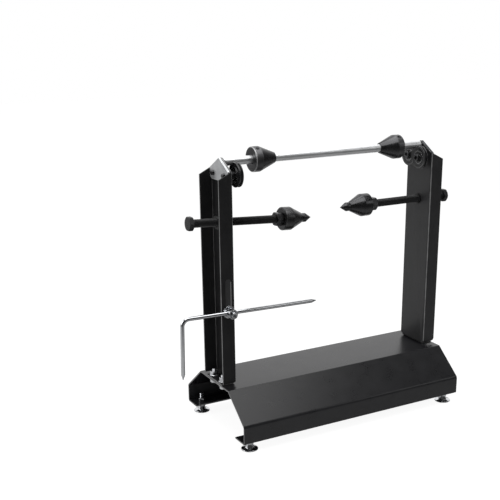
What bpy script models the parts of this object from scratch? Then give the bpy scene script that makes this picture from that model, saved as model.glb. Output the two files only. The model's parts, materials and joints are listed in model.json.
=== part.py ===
"""Motorcycle wheel balancer, a bench stand that carries a wheel on a shaft between two uprights.

A folded sheet base stands on four levelling feet. Two channel uprights are bolted to its top.
Each upright carries two ball-bearing rollers, and the balance shaft rests in the saddles that
the rollers make. Two cones on the shaft centre a wheel. Below it, two screwed arms with a cone
and a point each reach in from the uprights, and a bent pointer is clamped in a slot.

Units are metres and +Z is up. +X runs along the shaft, and the upright with the slot stands on
the left, at -X. The finished part stands on the bench at Z = 0 with the middle of its whole
box at the origin. Everything is built round the centre of the base's top first.
"""

import math

import bmesh
import bpy
from mathutils import Matrix, Vector

# Fits and tools
GAP = 0.0003                    # clearance between pieces that touch
OVERRUN = 0.002                 # how far a cutting tool runs past what it cuts
MERGE_DISTANCE = 0.00001        # points nearer than this are one point
SHARP_ANGLE = math.radians(35)
LARGE_STEPS = 28                # facets round a turned piece
MEDIUM_STEPS = 20
SMALL_STEPS = 14
HEX_CHAMFER_ANGLE = math.radians(30)

# Sheet steel of the base and the uprights
SHEET = 0.0025
BEND_RADIUS = 0.0036            # outside of a bend
BEND_STEPS = 3
BEND_ANGLE = math.radians(20)   # a fold sharper than this is a bend

# Base
BASE_LENGTH = 0.4525
BASE_TOP_WIDTH = 0.109
BASE_WIDTH = 0.2222
BASE_HEIGHT = 0.0785
BASE_SKIRT_HEIGHT = 0.0328
BASE_RETURN_WIDTH = 0.0337

# Balance shaft and its place
SHAFT_HEIGHT = 0.3762
SHAFT_END_GAP = 0.0012          # between the shaft's end and the web
SHAFT_RADIUS = 0.007
SHAFT_CHAMFER = 0.0008
CENTRE_HOLE_RADIUS = 0.0016
CENTRE_HOLE_DEPTH = 0.003

# Uprights
UPRIGHT_INSET = 0.02545         # from the base's end to the inner face of the web
UPRIGHT_WIDTH = 0.0730
UPRIGHT_DEPTH = 0.0252
UPRIGHT_LIFT = 0.005            # the flanges stop this far above the base
TAB_WIDTH = 0.058
GABLE_RISE = 0.0073             # peak of the web above the shaft's axis
GABLE_WIDTH = 0.061
GABLE_SLOPE = math.radians(30)
FLANGE_TOP_DROP = 0.0125
FLANGE_CORNER_RADIUS = 0.005
CORNER_STEPS = 4

# Bolts that hold the uprights down
UPRIGHT_BOLT_OFFSET = 0.0160    # from the web's inner face
UPRIGHT_BOLT_PITCH = 0.035
M8_RADIUS = 0.004
M8_FLATS = 0.013
M8_NUT_THICKNESS = 0.0065
M8_HEAD_THICKNESS = 0.0053
M8_FLANGE_RADIUS = 0.0083
M8_FLANGE_THICKNESS = 0.0016
THREAD_END = 0.004              # thread that stands out of a nut or a tapped plate

# Rollers, with the small ball bearing inside each
ROLLER_RADIUS = 0.0202
ROLLER_WIDTH = 0.0074
ROLLER_RIM = 0.0016             # width of each rim beside the groove
ROLLER_GROOVE_DEPTH = 0.0032
ROLLER_CHAMFER = 0.0006
ROLLER_PITCH = 0.039            # between the two axles of a pair
ROLLER_SIDE_GAP = 0.0005        # between the two rollers of a pair
REAR_ROLLER_SETBACK = 0.0035    # from the web's inner face
BEARING_RADIUS = 0.011
BEARING_WIDTH = 0.007
BEARING_RACE = 0.0016
BEARING_SHIELD = 0.0005
INNER_RING_RADIUS = 0.006

# Plates that stiffen the webs behind the rollers
PLATE_THICKNESS = 0.004
PLATE_HEIGHT = 0.0375
PLATE_CORNER = 0.0045

# Roller axle screws
CAP_HEAD_RADIUS = 0.0065
CAP_HEAD_HEIGHT = 0.005
CAP_HEAD_CHAMFER = 0.0005
CAP_SOCKET_FLATS = 0.006
CAP_SOCKET_DEPTH = 0.003

# Cones on the balance shaft
SHAFT_CONE_RADIUS = 0.021
SHAFT_CONE_NOSE_RADIUS = 0.0090
SHAFT_CONE_BAND = 0.0120
SHAFT_CONE_TAPER = 0.0300
SHAFT_CONE_CHAMFER = 0.0010
LEFT_CONE_SETBACK = 0.0532      # from the web's inner face to the cone's back face
RIGHT_CONE_SETBACK = 0.0483
GRUB_RADIUS = 0.003
GRUB_SUNK = 0.0008              # below the cone's surface
GRUB_SOCKET_FLATS = 0.003
GRUB_SOCKET_DEPTH = 0.003
GRUB_LEAN = math.radians(28)    # towards the front, from straight up

# Screwed arms
ARM_HEIGHT = 0.2777
ARM_RADIUS = 0.007
ARM_SPARE = 0.0337              # left outside the web with the point in the middle of the stand
LEFT_ARM_DROOP = math.radians(3.42)
LEFT_POINT_PLACE = 0.0318       # from the middle of the stand to the arm's point
RIGHT_POINT_PLACE = 0.0291
ARM_HEAD_FLATS = 0.022
ARM_HEAD_THICKNESS = 0.008
ARM_SPIGOT_RADIUS = 0.005
ARM_TIP_RADIUS = 0.00775
ARM_POINT_LENGTH = 0.0118
ARM_POINT_RADIUS = 0.0004
ARM_TIP_LENGTH = 0.0183
ARM_TIP_SOCKET = 0.0053
ARM_CONE_RADIUS = 0.020
ARM_CONE_NOSE_RADIUS = 0.0078
ARM_CONE_TAPER = 0.0245
ARM_CONE_BAND = 0.0150
ARM_CONE_CHAMFER = 0.0015
ARM_CONE_STEP = 0.012           # depth of the narrow bore behind the nose
WEB_NUT_THICKNESS = 0.011
WEB_NUT_COLLAR_RADIUS = 0.0093
WEB_NUT_COLLAR_REACH = 0.003    # past the web's inner face
LOCK_NUT_THICKNESS = 0.012
LEFT_LOCK_NUT_SETBACK = 0.0003  # from the cone's back face
RIGHT_LOCK_NUT_SETBACK = 0.0030

# Pointer and its clamp
POINTER_HEIGHT = 0.1333
POINTER_TRAVEL = 0.051
POINTER_OFFSET = 0.0122         # clamp axis from the web's inner face
POINTER_RADIUS = 0.0035
POINTER_TILT = math.radians(1.3)
POINTER_REACH = 0.1675          # from the clamp to the inner tip
POINTER_TAIL = 0.0873           # from the clamp to the leg
POINTER_LEG = 0.1044
POINTER_BEND_RADIUS = 0.012
POINTER_BEND_STEPS = 8
POINTER_TAPER = 0.010
POINTER_TIP_SHARE = 0.12
POINTER_SIDES = 3               # bevel resolution of the rod
SLOT_WIDTH = 0.011
SLOT_STEPS = 8
CLAMP_RADIUS = 0.005
CLAMP_WASHER_RADIUS = 0.0107
CLAMP_WASHER_THICKNESS = 0.002
CLAMP_NUT_FLATS = 0.016
CLAMP_NUT_THICKNESS = 0.0084
CLAMP_NUT_TURN = math.radians(14)
CLAMP_HEAD_RADIUS = 0.0065
CLAMP_HEAD_THICKNESS = 0.006
CLAMP_CHAMFER = 0.0008
CLAMP_FLANGE_RADIUS = 0.0083
CLAMP_FLANGE_THICKNESS = 0.0016
CLAMP_SOCKET_FLATS = 0.0045
CLAMP_SOCKET_DEPTH = 0.004

# Levelling feet
FOOT_INSET_X = 0.0185           # from the base's end
FOOT_INSET_Y = 0.0171           # from the base's side
FOOT_HEIGHT = 0.0167            # from the bench to the base's return
FOOT_RADIUS = 0.0145
FOOT_RIM = 0.0016
FOOT_DISH = 0.0020              # rise of the pad from its rim to the hub
FOOT_HUB_RADIUS = 0.0052
FOOT_HUB_FOOT_RADIUS = 0.0075
FOOT_CHAMFER = 0.0006
FOOT_STUD_RADIUS = 0.004
FOOT_STUD_RISE = 0.019          # above the underside of the return
FOOT_HEX_FLATS = 0.013
FOOT_HEX_THICKNESS = 0.0065
FOOT_NUT_THICKNESS = 0.006

# How far the pointer reaches out on the left beyond what the right arm does, halved
STAND_MIDDLE = 0.0212

# Worked out from the sizes above
WEB_FACE = BASE_LENGTH / 2 - UPRIGHT_INSET
SHAFT_END = WEB_FACE - SHAFT_END_GAP
ROLLER_DROP = math.sqrt((ROLLER_RADIUS + SHAFT_RADIUS + GAP) ** 2 - (ROLLER_PITCH / 2) ** 2)
ROLLER_HEIGHT = SHAFT_HEIGHT - ROLLER_DROP
GABLE_PEAK = SHAFT_HEIGHT + GABLE_RISE
SHOULDER_HEIGHT = GABLE_PEAK - math.tan(GABLE_SLOPE) * GABLE_WIDTH / 2
SHAFT_CONE_LENGTH = SHAFT_CONE_BAND + SHAFT_CONE_TAPER + SHAFT_CONE_CHAMFER
ARM_CONE_LENGTH = ARM_CONE_TAPER + ARM_CONE_BAND + ARM_CONE_CHAMFER
ARM_CONE_NOSE = ARM_TIP_LENGTH + GAP
ARM_CONE_BACK = ARM_CONE_NOSE + ARM_CONE_LENGTH
WEB_NUT_SPAN = WEB_NUT_COLLAR_REACH + SHEET + GAP + WEB_NUT_THICKNESS
WEB_NUT_MIDDLE = WEB_NUT_SPAN / 2 - WEB_NUT_COLLAR_REACH
ARM_START = WEB_FACE + WEB_NUT_MIDDLE
ARM_LENGTH = WEB_FACE + ARM_SPARE    # point to outer face of the head
RETURN_UNDERSIDE = -BASE_HEIGHT
POINTER_PLANE = -(UPRIGHT_WIDTH / 2 + GAP + CLAMP_WASHER_THICKNESS + GAP + POINTER_RADIUS)

# Colour, metallic value and roughness of each finish
FINISHES = {
    "black_paint": ((0.013, 0.013, 0.014), 0.0, 0.40),
    "black_oxide": ((0.020, 0.020, 0.021), 0.7, 0.38),
    "black_nylon": ((0.016, 0.016, 0.017), 0.0, 0.35),
    "zinc_plate": ((0.42, 0.43, 0.44), 0.9, 0.38),
    "chrome": ((0.72, 0.73, 0.74), 1.0, 0.12),
    "bearing_steel": ((0.30, 0.30, 0.31), 1.0, 0.30),
}

CORNERS = (
    ("left_front", -1, -1), ("left_rear", -1, 1), ("right_front", 1, -1), ("right_rear", 1, 1),
)

ALONG_X = Matrix.Rotation(math.pi / 2, 4, "Z") @ Matrix.Rotation(math.pi / 2, 4, "X")
ALONG_Y = Matrix.Rotation(math.pi / 2, 4, "X")


# Modelling helpers

def new_collection(name):
    collection = bpy.data.collections.new(name)
    bpy.context.scene.collection.children.link(collection)
    return collection


def new_object(name, data, collection):
    obj = bpy.data.objects.new(name, data)
    collection.objects.link(obj)
    return obj


def welded(mesh):
    """Join points that lie on each other, such as a curve's loose caps."""
    bm = bmesh.new()
    bm.from_mesh(mesh)
    bmesh.ops.remove_doubles(bm, verts=bm.verts, dist=MERGE_DISTANCE)
    bm.to_mesh(mesh)
    bm.free()
    return mesh


def settled(obj):
    """Take the mesh that an object's modifiers make, and remove the object."""
    graph = bpy.context.evaluated_depsgraph_get()
    mesh = bpy.data.meshes.new_from_object(obj.evaluated_get(graph))
    bpy.data.objects.remove(obj)
    return welded(mesh)


def moved(mesh, matrix):
    mesh.transform(matrix)
    return mesh


def pointing(point, direction):
    """Matrix that lays local Z along a direction, with local Y as near to up as it goes."""
    turn = Vector(direction).to_track_quat("Z", "Y")
    return Matrix.Translation(point) @ turn.to_matrix().to_4x4()


def turned(profile, steps):
    """Revolve (radius, height) points about Z. A profile that keeps off the axis is a ring."""
    count = len(profile)
    edges = [(i, i + 1) for i in range(count - 1)]
    if profile[0][0] > 0:
        edges.append((count - 1, 0))
    mesh = bpy.data.meshes.new("profile")
    mesh.from_pydata([(radius, 0, height) for radius, height in profile], edges, [])
    obj = new_object("profile", mesh, tools)
    screw = obj.modifiers.new("Turn", "SCREW")
    screw.steps = steps
    screw.render_steps = steps
    screw.use_merge_vertices = True
    screw.merge_threshold = MERGE_DISTANCE
    return settled(obj)


def cylinder(radius, low, high, steps):
    return turned([(0, high), (radius, high), (radius, low), (0, low)], steps)


def ring(outer, inner, low, high, steps):
    return turned([(outer, high), (outer, low), (inner, low), (inner, high)], steps)


def prism(outlines, thickness):
    """Fill flat outlines, of which the later ones are holes, to a plate centred on Z = 0."""
    curve = bpy.data.curves.new("outline", "CURVE")
    curve.dimensions = "2D"
    curve.fill_mode = "BOTH"
    curve.extrude = thickness / 2
    for outline in outlines:
        spline = curve.splines.new("POLY")
        spline.points.add(len(outline) - 1)
        for point, (across, along) in zip(spline.points, outline):
            point.co = (across, along, 0, 1)
        spline.use_cyclic_u = True
    return settled(new_object("outline", curve, tools))


def arc(centre, radius, start, end, steps):
    """Points of a round stretch, from one angle to another."""
    angles = [start + (end - start) * i / steps for i in range(steps + 1)]
    return [(centre[0] + radius * math.cos(a), centre[1] + radius * math.sin(a)) for a in angles]


def circle(centre, radius, steps):
    return arc(centre, radius, 0, 2 * math.pi, steps)[:-1]


def hexagon(flats, low, high):
    """A six-sided prism with two corners on the Y axis."""
    bm = bmesh.new()
    corner = flats / math.sqrt(3)
    bmesh.ops.create_cone(bm, cap_ends=True, segments=6, radius1=corner, radius2=corner,
                          depth=high - low)
    bmesh.ops.translate(bm, verts=bm.verts, vec=(0, 0, (low + high) / 2))
    mesh = bpy.data.meshes.new("hexagon")
    bm.to_mesh(mesh)
    bm.free()
    return mesh


def combined(mesh, operation, others):
    """Boolean a mesh with others, one after another."""
    obj = new_object("body", mesh, tools)
    helpers = []
    for other in others:
        helper = new_object("tool", other, tools)
        helper.hide_render = True
        helper.display_type = "WIRE"
        boolean = obj.modifiers.new("Boolean", "BOOLEAN")
        boolean.operation = operation
        boolean.solver = "EXACT"
        boolean.object = helper
        helpers.append(helper)
    result = settled(obj)
    for helper in helpers:
        bpy.data.objects.remove(helper)
    return result


def chamfered_hexagon(flats, low, high, chamfer_low=True):
    """A hexagon whose corners are turned off, as on a nut or a bolt head."""
    face = flats / 2
    corner = flats / math.sqrt(3) + GAP
    fall = (corner - face) * math.tan(HEX_CHAMFER_ANGLE)
    profile = [(0, high), (face, high), (corner, high - fall)]
    if chamfer_low:
        profile += [(corner, low + fall), (face, low), (0, low)]
    else:
        profile += [(corner, low - OVERRUN), (0, low - OVERRUN)]
    return combined(hexagon(flats, low, high), "INTERSECT", [turned(profile, MEDIUM_STEPS)])


def plain_nut(flats, low, high, bore):
    tool = cylinder(bore, low - OVERRUN, high + OVERRUN, SMALL_STEPS)
    return combined(hexagon(flats, low, high), "DIFFERENCE", [tool])


def finish_material(name, finish):
    colour, metallic, roughness = FINISHES[finish]
    material = bpy.data.materials.new(name + "_" + finish)
    material.use_nodes = True
    shader = material.node_tree.nodes["Principled BSDF"]
    shader.inputs["Base Color"].default_value = (*colour, 1)
    shader.inputs["Metallic"].default_value = metallic
    shader.inputs["Roughness"].default_value = roughness
    return material


def add_part(name, mesh, finish, place=None, parent=None):
    """Put a mesh in the scene as a named part, shaded smooth except at its sharp edges."""
    mesh.name = name
    mesh.materials.clear()
    mesh.materials.append(finish_material(name, finish))
    mesh.shade_smooth()
    mesh.set_sharp_from_angle(angle=SHARP_ANGLE)
    obj = new_object(name, mesh, parts)
    obj.parent = parent
    if place is not None:
        obj.matrix_basis = place
    return obj


def add_axis(name, place, parent=None):
    """An empty on a joint's axis, which carries the pieces that move on it."""
    empty = new_object(name, None, parts)
    empty.empty_display_size = SHAFT_RADIUS
    empty.matrix_basis = place
    empty.parent = parent
    return empty


# Folded sheet

def pulled(bm, edges, step):
    """Extrude edges by a step, and return the edges at the far side."""
    made = bmesh.ops.extrude_edge_only(bm, edges=edges)["geom"]
    points = [item for item in made if isinstance(item, bmesh.types.BMVert)]
    bmesh.ops.translate(bm, verts=points, vec=step)
    return [item for item in made if isinstance(item, bmesh.types.BMEdge)
            and item.verts[0] in points and item.verts[1] in points]


def chain(bm, points):
    verts = [bm.verts.new(point) for point in points]
    return [bm.edges.new(pair) for pair in zip(verts, verts[1:])]


def folded(bm, inside):
    """Turn an open surface into bent sheet. The surface is the outside of the bends, and
    inside is a point that the sheet folds round."""
    bmesh.ops.recalc_face_normals(bm, faces=bm.faces)
    bm.normal_update()
    outward = sum(face.calc_area() * face.normal.dot(face.calc_center_median() - Vector(inside))
                  for face in bm.faces)
    if outward < 0:
        bmesh.ops.reverse_faces(bm, faces=bm.faces)
    weights = bm.edges.layers.float.new("bevel_weight_edge")
    for edge in bm.edges:
        turn = edge.calc_face_angle(0)
        if turn > BEND_ANGLE:
            edge[weights] = math.tan(turn / 2)
    mesh = bpy.data.meshes.new("sheet")
    bm.to_mesh(mesh)
    bm.free()
    obj = new_object("sheet", mesh, tools)
    bend = obj.modifiers.new("Bends", "BEVEL")
    bend.width = BEND_RADIUS
    bend.segments = BEND_STEPS
    bend.limit_method = "WEIGHT"
    solid = obj.modifiers.new("Sheet", "SOLIDIFY")
    solid.thickness = SHEET
    solid.offset = -1
    solid.use_even_offset = True
    return settled(obj)


def base_mesh():
    """Folded base: flat top, sloped sides, short skirts, and returns that carry the feet."""
    edge = BASE_WIDTH / 2
    half_profile = [
        (edge - BASE_RETURN_WIDTH, RETURN_UNDERSIDE),
        (edge, RETURN_UNDERSIDE),
        (edge, RETURN_UNDERSIDE + BASE_SKIRT_HEIGHT),
        (BASE_TOP_WIDTH / 2, 0),
    ]
    profile = half_profile + [(-y, z) for y, z in reversed(half_profile)]
    bm = bmesh.new()
    edges = chain(bm, [(-BASE_LENGTH / 2, y, z) for y, z in profile])
    pulled(bm, edges, (BASE_LENGTH, 0, 0))
    sheet = folded(bm, (0, 0, -BASE_HEIGHT / 2))
    holes = []
    for _, side, row in CORNERS:
        bolt_hole = cylinder(M8_RADIUS + GAP, -SHEET - OVERRUN, OVERRUN, SMALL_STEPS)
        holes.append(moved(bolt_hole, upright_bolt_place(side, row)))
        stud_hole = cylinder(FOOT_STUD_RADIUS + GAP, -OVERRUN, SHEET + OVERRUN, SMALL_STEPS)
        holes.append(moved(stud_hole, foot_place(side, row)))
    return combined(sheet, "DIFFERENCE", holes)


def upright_mesh(with_slot):
    """Channel upright. X = 0 is the inner face of its web, and the flanges run to +X."""
    half = UPRIGHT_WIDTH / 2
    tab = TAB_WIDTH / 2
    top = GABLE_PEAK + OVERRUN
    plan = [(UPRIGHT_DEPTH, -half), (0, -half), (0, -tab), (0, tab), (0, half),
            (UPRIGHT_DEPTH, half)]
    bm = bmesh.new()
    edges = chain(bm, [(x, y, UPRIGHT_LIFT) for x, y in plan])
    pulled(bm, edges, (0, 0, top - UPRIGHT_LIFT))
    tab_edge = pulled(bm, [edges[2]], (0, 0, GAP - UPRIGHT_LIFT))
    pulled(bm, tab_edge, (UPRIGHT_DEPTH, 0, 0))
    sheet = folded(bm, (UPRIGHT_DEPTH, 0, top / 2))
    cuts = [gable_tool(top)]
    cuts += [flange_top_tool(top, side) for side in (-1, 1)]
    cuts += [corner_tool(0, 1, side) for side in (-1, 1)]
    cuts += upright_hole_tools()
    if with_slot:
        cuts.append(slot_tool())
    else:
        cuts.append(corner_tool(UPRIGHT_DEPTH, -1, -1))
    return combined(sheet, "DIFFERENCE", cuts)


def gable_tool(top):
    """What is cut away above the two slopes of the web."""
    edge = GABLE_WIDTH / 2
    outline = [
        (-edge - OVERRUN, SHOULDER_HEIGHT), (-edge, SHOULDER_HEIGHT), (0, GABLE_PEAK),
        (edge, SHOULDER_HEIGHT), (edge + OVERRUN, SHOULDER_HEIGHT),
        (edge + OVERRUN, top + OVERRUN), (-edge - OVERRUN, top + OVERRUN),
    ]
    centre = Matrix.Translation((UPRIGHT_DEPTH / 2, 0, 0))
    return moved(prism([outline], UPRIGHT_DEPTH + 2 * OVERRUN), centre @ ALONG_X)


def flange_top_tool(top, side):
    """What is cut away above a flange, whose top falls from the web to its free edge."""
    fall = FLANGE_TOP_DROP / UPRIGHT_DEPTH
    end = UPRIGHT_DEPTH + OVERRUN
    outline = [
        (-OVERRUN, SHOULDER_HEIGHT + fall * OVERRUN), (end, SHOULDER_HEIGHT - fall * end),
        (end, top + OVERRUN), (-OVERRUN, top + OVERRUN),
    ]
    inner = GABLE_WIDTH / 2
    outer = UPRIGHT_WIDTH / 2 + OVERRUN
    centre = Matrix.Translation((0, side * (inner + outer) / 2, 0))
    return moved(prism([outline], outer - inner), centre @ ALONG_Y)


def corner_tool(edge, inward, side):
    """What rounds the lower corner of a flange, at one of its two edges."""
    radius = FLANGE_CORNER_RADIUS
    outline = [(edge - inward * OVERRUN, UPRIGHT_LIFT - OVERRUN),
               (edge + inward * radius, UPRIGHT_LIFT - OVERRUN)]
    start = -math.pi / 2
    end = start - inward * math.pi / 2
    outline += arc((edge + inward * radius, UPRIGHT_LIFT + radius), radius, start, end,
                   CORNER_STEPS)
    outline.append((edge - inward * OVERRUN, UPRIGHT_LIFT + radius))
    inner = (TAB_WIDTH + UPRIGHT_WIDTH) / 4
    outer = UPRIGHT_WIDTH / 2 + OVERRUN
    centre = Matrix.Translation((0, side * (inner + outer) / 2, 0))
    return moved(prism([outline], outer - inner), centre @ ALONG_Y)


def upright_hole_tools():
    """Holes for the roller axles, for the arm's nut, and for the bolts in the tab."""
    low = -OVERRUN
    high = SHEET + OVERRUN
    holes = []
    for y in (-ROLLER_PITCH / 2, ROLLER_PITCH / 2):
        hole = cylinder(M8_RADIUS + GAP, low, high, SMALL_STEPS)
        holes.append(moved(hole, pointing((0, y, ROLLER_HEIGHT), (1, 0, 0))))
    hole = cylinder(WEB_NUT_COLLAR_RADIUS + GAP, low, high, MEDIUM_STEPS)
    holes.append(moved(hole, pointing((0, 0, ARM_HEIGHT), (1, 0, 0))))
    for y in (-UPRIGHT_BOLT_PITCH / 2, UPRIGHT_BOLT_PITCH / 2):
        hole = cylinder(M8_RADIUS + GAP, low, GAP + high, SMALL_STEPS)
        holes.append(moved(hole, Matrix.Translation((UPRIGHT_BOLT_OFFSET, y, 0))))
    return holes


def slot_tool():
    """The long slot in one flange, in which the pointer's clamp slides."""
    radius = SLOT_WIDTH / 2
    low = POINTER_HEIGHT - CLAMP_RADIUS - GAP + radius
    high = POINTER_HEIGHT + POINTER_TRAVEL + CLAMP_RADIUS + GAP - radius
    outline = arc((POINTER_OFFSET, low), radius, math.pi, 2 * math.pi, SLOT_STEPS)
    outline += arc((POINTER_OFFSET, high), radius, 0, math.pi, SLOT_STEPS)
    centre = Matrix.Translation((0, (UPRIGHT_WIDTH - SHEET) / 2, 0))
    return moved(prism([outline], SHEET + 2 * OVERRUN), centre @ ALONG_Y)


# Where the pieces stand that there are four of. side is -1 on the left, row is -1 in front.

def upright_bolt_place(side, row):
    x = side * (WEB_FACE + UPRIGHT_BOLT_OFFSET)
    return Matrix.Translation((x, row * UPRIGHT_BOLT_PITCH / 2, 0))


def foot_place(side, row):
    """On the underside of the base's return."""
    x = side * (BASE_LENGTH / 2 - FOOT_INSET_X)
    y = row * (BASE_WIDTH / 2 - FOOT_INSET_Y)
    return Matrix.Translation((x, y, RETURN_UNDERSIDE))


def axle_place(side, row):
    """On a roller's axis at the web's inner face, with +Z running out through the web."""
    return pointing((side * WEB_FACE, row * ROLLER_PITCH / 2, ROLLER_HEIGHT), (side, 0, 0))


def roller_middle(row):
    """Distance from the web's inner face to a roller's middle."""
    rear = REAR_ROLLER_SETBACK + ROLLER_WIDTH / 2
    if row > 0:
        return rear
    return rear + ROLLER_SIDE_GAP + ROLLER_WIDTH


# Base, uprights and what bolts them together

def build_stand():
    add_part("base", base_mesh(), "black_paint")
    right = Matrix.Translation((WEB_FACE, 0, 0))
    left = Matrix.Translation((-WEB_FACE, 0, 0)) @ Matrix.Rotation(math.pi, 4, "Z")
    add_part("left_upright", upright_mesh(True), "black_paint", left)
    add_part("right_upright", upright_mesh(False), "black_paint", right)
    for name, place in (("left_roller_plate", left), ("right_roller_plate", right)):
        add_part(name, roller_plate_mesh(), "zinc_plate", place)
    build_upright_bolts()


def roller_plate_mesh():
    """Gabled plate against the outer face of a web. The axle screws are tapped into it."""
    edge = (UPRIGHT_WIDTH / 2 - BEND_RADIUS) - GAP
    eave = GABLE_PEAK - math.tan(GABLE_SLOPE) * edge
    low = GABLE_PEAK - PLATE_HEIGHT
    half = [(edge, eave), (edge, low + PLATE_CORNER), (edge - PLATE_CORNER, low)]
    outline = [(0, GABLE_PEAK)] + half + [(-y, z) for y, z in reversed(half)]
    holes = [circle((y, ROLLER_HEIGHT), M8_RADIUS + GAP, SMALL_STEPS)
             for y in (-ROLLER_PITCH / 2, ROLLER_PITCH / 2)]
    middle = SHEET + GAP + PLATE_THICKNESS / 2
    centre = Matrix.Translation((middle, 0, 0))
    return moved(prism([outline] + holes, PLATE_THICKNESS), centre @ ALONG_X)


def build_upright_bolts():
    """Flanged bolts from below, through the base and the tabs, with flanged nuts on top."""
    flange_low = GAP + SHEET + GAP
    nut_low = flange_low + M8_FLANGE_THICKNESS
    nut_high = nut_low + M8_NUT_THICKNESS
    head_high = -SHEET - GAP
    flange_under = head_high - M8_FLANGE_THICKNESS
    head = hexagon(M8_FLATS, flange_under - M8_HEAD_THICKNESS, head_high - M8_FLANGE_THICKNESS / 2)
    shank = turned([
        (0, nut_high + THREAD_END), (M8_RADIUS, nut_high + THREAD_END), (M8_RADIUS, head_high),
        (M8_FLANGE_RADIUS, head_high), (M8_FLANGE_RADIUS, flange_under), (0, flange_under),
    ], SMALL_STEPS)
    bolt = combined(head, "UNION", [shank])
    flange = cylinder(M8_FLANGE_RADIUS, flange_low, nut_low, SMALL_STEPS)
    hex_body = hexagon(M8_FLATS, nut_low - M8_FLANGE_THICKNESS / 2, nut_high)
    tool = cylinder(M8_RADIUS + GAP, flange_low - OVERRUN, nut_high + OVERRUN, SMALL_STEPS)
    nut = combined(combined(hex_body, "UNION", [flange]), "DIFFERENCE", [tool])
    for name, side, row in CORNERS:
        place = upright_bolt_place(side, row)
        add_part(name + "_upright_bolt", bolt.copy(), "chrome", place)
        add_part(name + "_upright_nut", nut.copy(), "chrome", place)


# Rollers and their axles

def roller_profile():
    """Section of a roller: a bore for the bearing, two rims, and a groove between them."""
    half = ROLLER_WIDTH / 2
    rim = half - ROLLER_RIM
    radius = ROLLER_RADIUS
    floor = radius - ROLLER_GROOVE_DEPTH
    outer = [(radius - ROLLER_CHAMFER, half), (radius, half - ROLLER_CHAMFER), (radius, rim),
             (floor, rim / 2)]
    bore = BEARING_RADIUS + GAP
    return outer + [(r, -z) for r, z in reversed(outer)] + [(bore, -half), (bore, half)]


def bearing_profile():
    """Section of a bearing's outer ring, with a thin shield at each side."""
    half = BEARING_WIDTH / 2
    race = BEARING_RADIUS - BEARING_RACE
    lip = INNER_RING_RADIUS + GAP
    inside = half - BEARING_SHIELD
    return [(BEARING_RADIUS, half), (BEARING_RADIUS, -half), (lip, -half), (lip, -inside),
            (race, -inside), (race, inside), (lip, inside), (lip, half)]


def axle_screw(row):
    """Cap screw along Z. Z = 0 is the web's inner face, and +Z runs out through the web."""
    under_head = -(roller_middle(row) + BEARING_WIDTH / 2) - GAP
    top = under_head - CAP_HEAD_HEIGHT
    plate_face = SHEET + GAP + PLATE_THICKNESS
    end = plate_face + THREAD_END
    profile = [
        (0, end), (M8_RADIUS, end), (M8_RADIUS, under_head), (CAP_HEAD_RADIUS, under_head),
        (CAP_HEAD_RADIUS, top + CAP_HEAD_CHAMFER), (CAP_HEAD_RADIUS - CAP_HEAD_CHAMFER, top),
        (0, top),
    ]
    socket = hexagon(CAP_SOCKET_FLATS, top - OVERRUN, top + CAP_SOCKET_DEPTH)
    return combined(turned(profile, SMALL_STEPS), "DIFFERENCE", [socket])


def axle_spacer(row):
    """Tube that holds the bearing's inner ring off the web."""
    end = roller_middle(row) - BEARING_WIDTH / 2 - GAP
    return ring(INNER_RING_RADIUS, M8_RADIUS + GAP, -end, -GAP, SMALL_STEPS)


def build_rollers():
    roller = turned(roller_profile(), LARGE_STEPS)
    bearing = turned(bearing_profile(), SMALL_STEPS)
    half = BEARING_WIDTH / 2
    inner_ring = ring(INNER_RING_RADIUS, M8_RADIUS + GAP, -half, half, SMALL_STEPS)
    for name, side, row in CORNERS:
        place = axle_place(side, row)
        middle = Matrix.Translation((0, 0, -roller_middle(row)))
        axis = add_axis(name + "_roller_axis", place @ middle)
        add_part(name + "_roller", roller.copy(), "black_nylon", parent=axis)
        add_part(name + "_roller_bearing", bearing.copy(), "bearing_steel", parent=axis)
        add_part(name + "_bearing_inner_ring", inner_ring.copy(), "bearing_steel",
                 place @ middle)
        add_part(name + "_axle_spacer", axle_spacer(row), "black_oxide", place)
        add_part(name + "_axle_screw", axle_screw(row), "black_oxide", place)


# Balance shaft and its cones

def shaft_mesh():
    """Plain bar with chamfered ends and a centre hole in each."""
    end = SHAFT_END
    half = [(0, end - CENTRE_HOLE_DEPTH), (CENTRE_HOLE_RADIUS, end),
            (SHAFT_RADIUS - SHAFT_CHAMFER, end), (SHAFT_RADIUS, end - SHAFT_CHAMFER)]
    return turned(half + [(r, -z) for r, z in reversed(half)], LARGE_STEPS)


def shaft_cone_mesh():
    """Cone with a band at its wide end and a tapped hole in the band. Z = 0 is its back face."""
    bore = SHAFT_RADIUS + GAP
    edge = SHAFT_CONE_CHAMFER
    nose = SHAFT_CONE_NOSE_RADIUS
    length = SHAFT_CONE_LENGTH
    profile = [
        (nose - edge / 2, length), (nose, length - edge / 2),
        (SHAFT_CONE_RADIUS, SHAFT_CONE_BAND + edge), (SHAFT_CONE_RADIUS, edge),
        (SHAFT_CONE_RADIUS - edge, 0), (bore + edge, 0), (bore, edge), (bore, length),
    ]
    hole = cylinder(GRUB_RADIUS + GAP, 0, SHAFT_CONE_RADIUS + OVERRUN, SMALL_STEPS)
    place = Matrix.Translation((0, 0, grub_height())) @ Matrix.Rotation(math.pi / 2, 4, "X")
    turn = Matrix.Rotation(math.pi, 4, "Z")
    return combined(turned(profile, LARGE_STEPS), "DIFFERENCE", [moved(hole, turn @ place)])


def grub_height():
    return SHAFT_CONE_CHAMFER + SHAFT_CONE_BAND / 2


def grub_screw_mesh():
    """Set screw along Z, from the shaft up to just under the cone's surface."""
    low = SHAFT_RADIUS + GAP
    high = SHAFT_CONE_RADIUS - GRUB_SUNK
    socket = hexagon(GRUB_SOCKET_FLATS, high - GRUB_SOCKET_DEPTH, high + OVERRUN)
    return combined(cylinder(GRUB_RADIUS, low, high, SMALL_STEPS), "DIFFERENCE", [socket])


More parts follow.
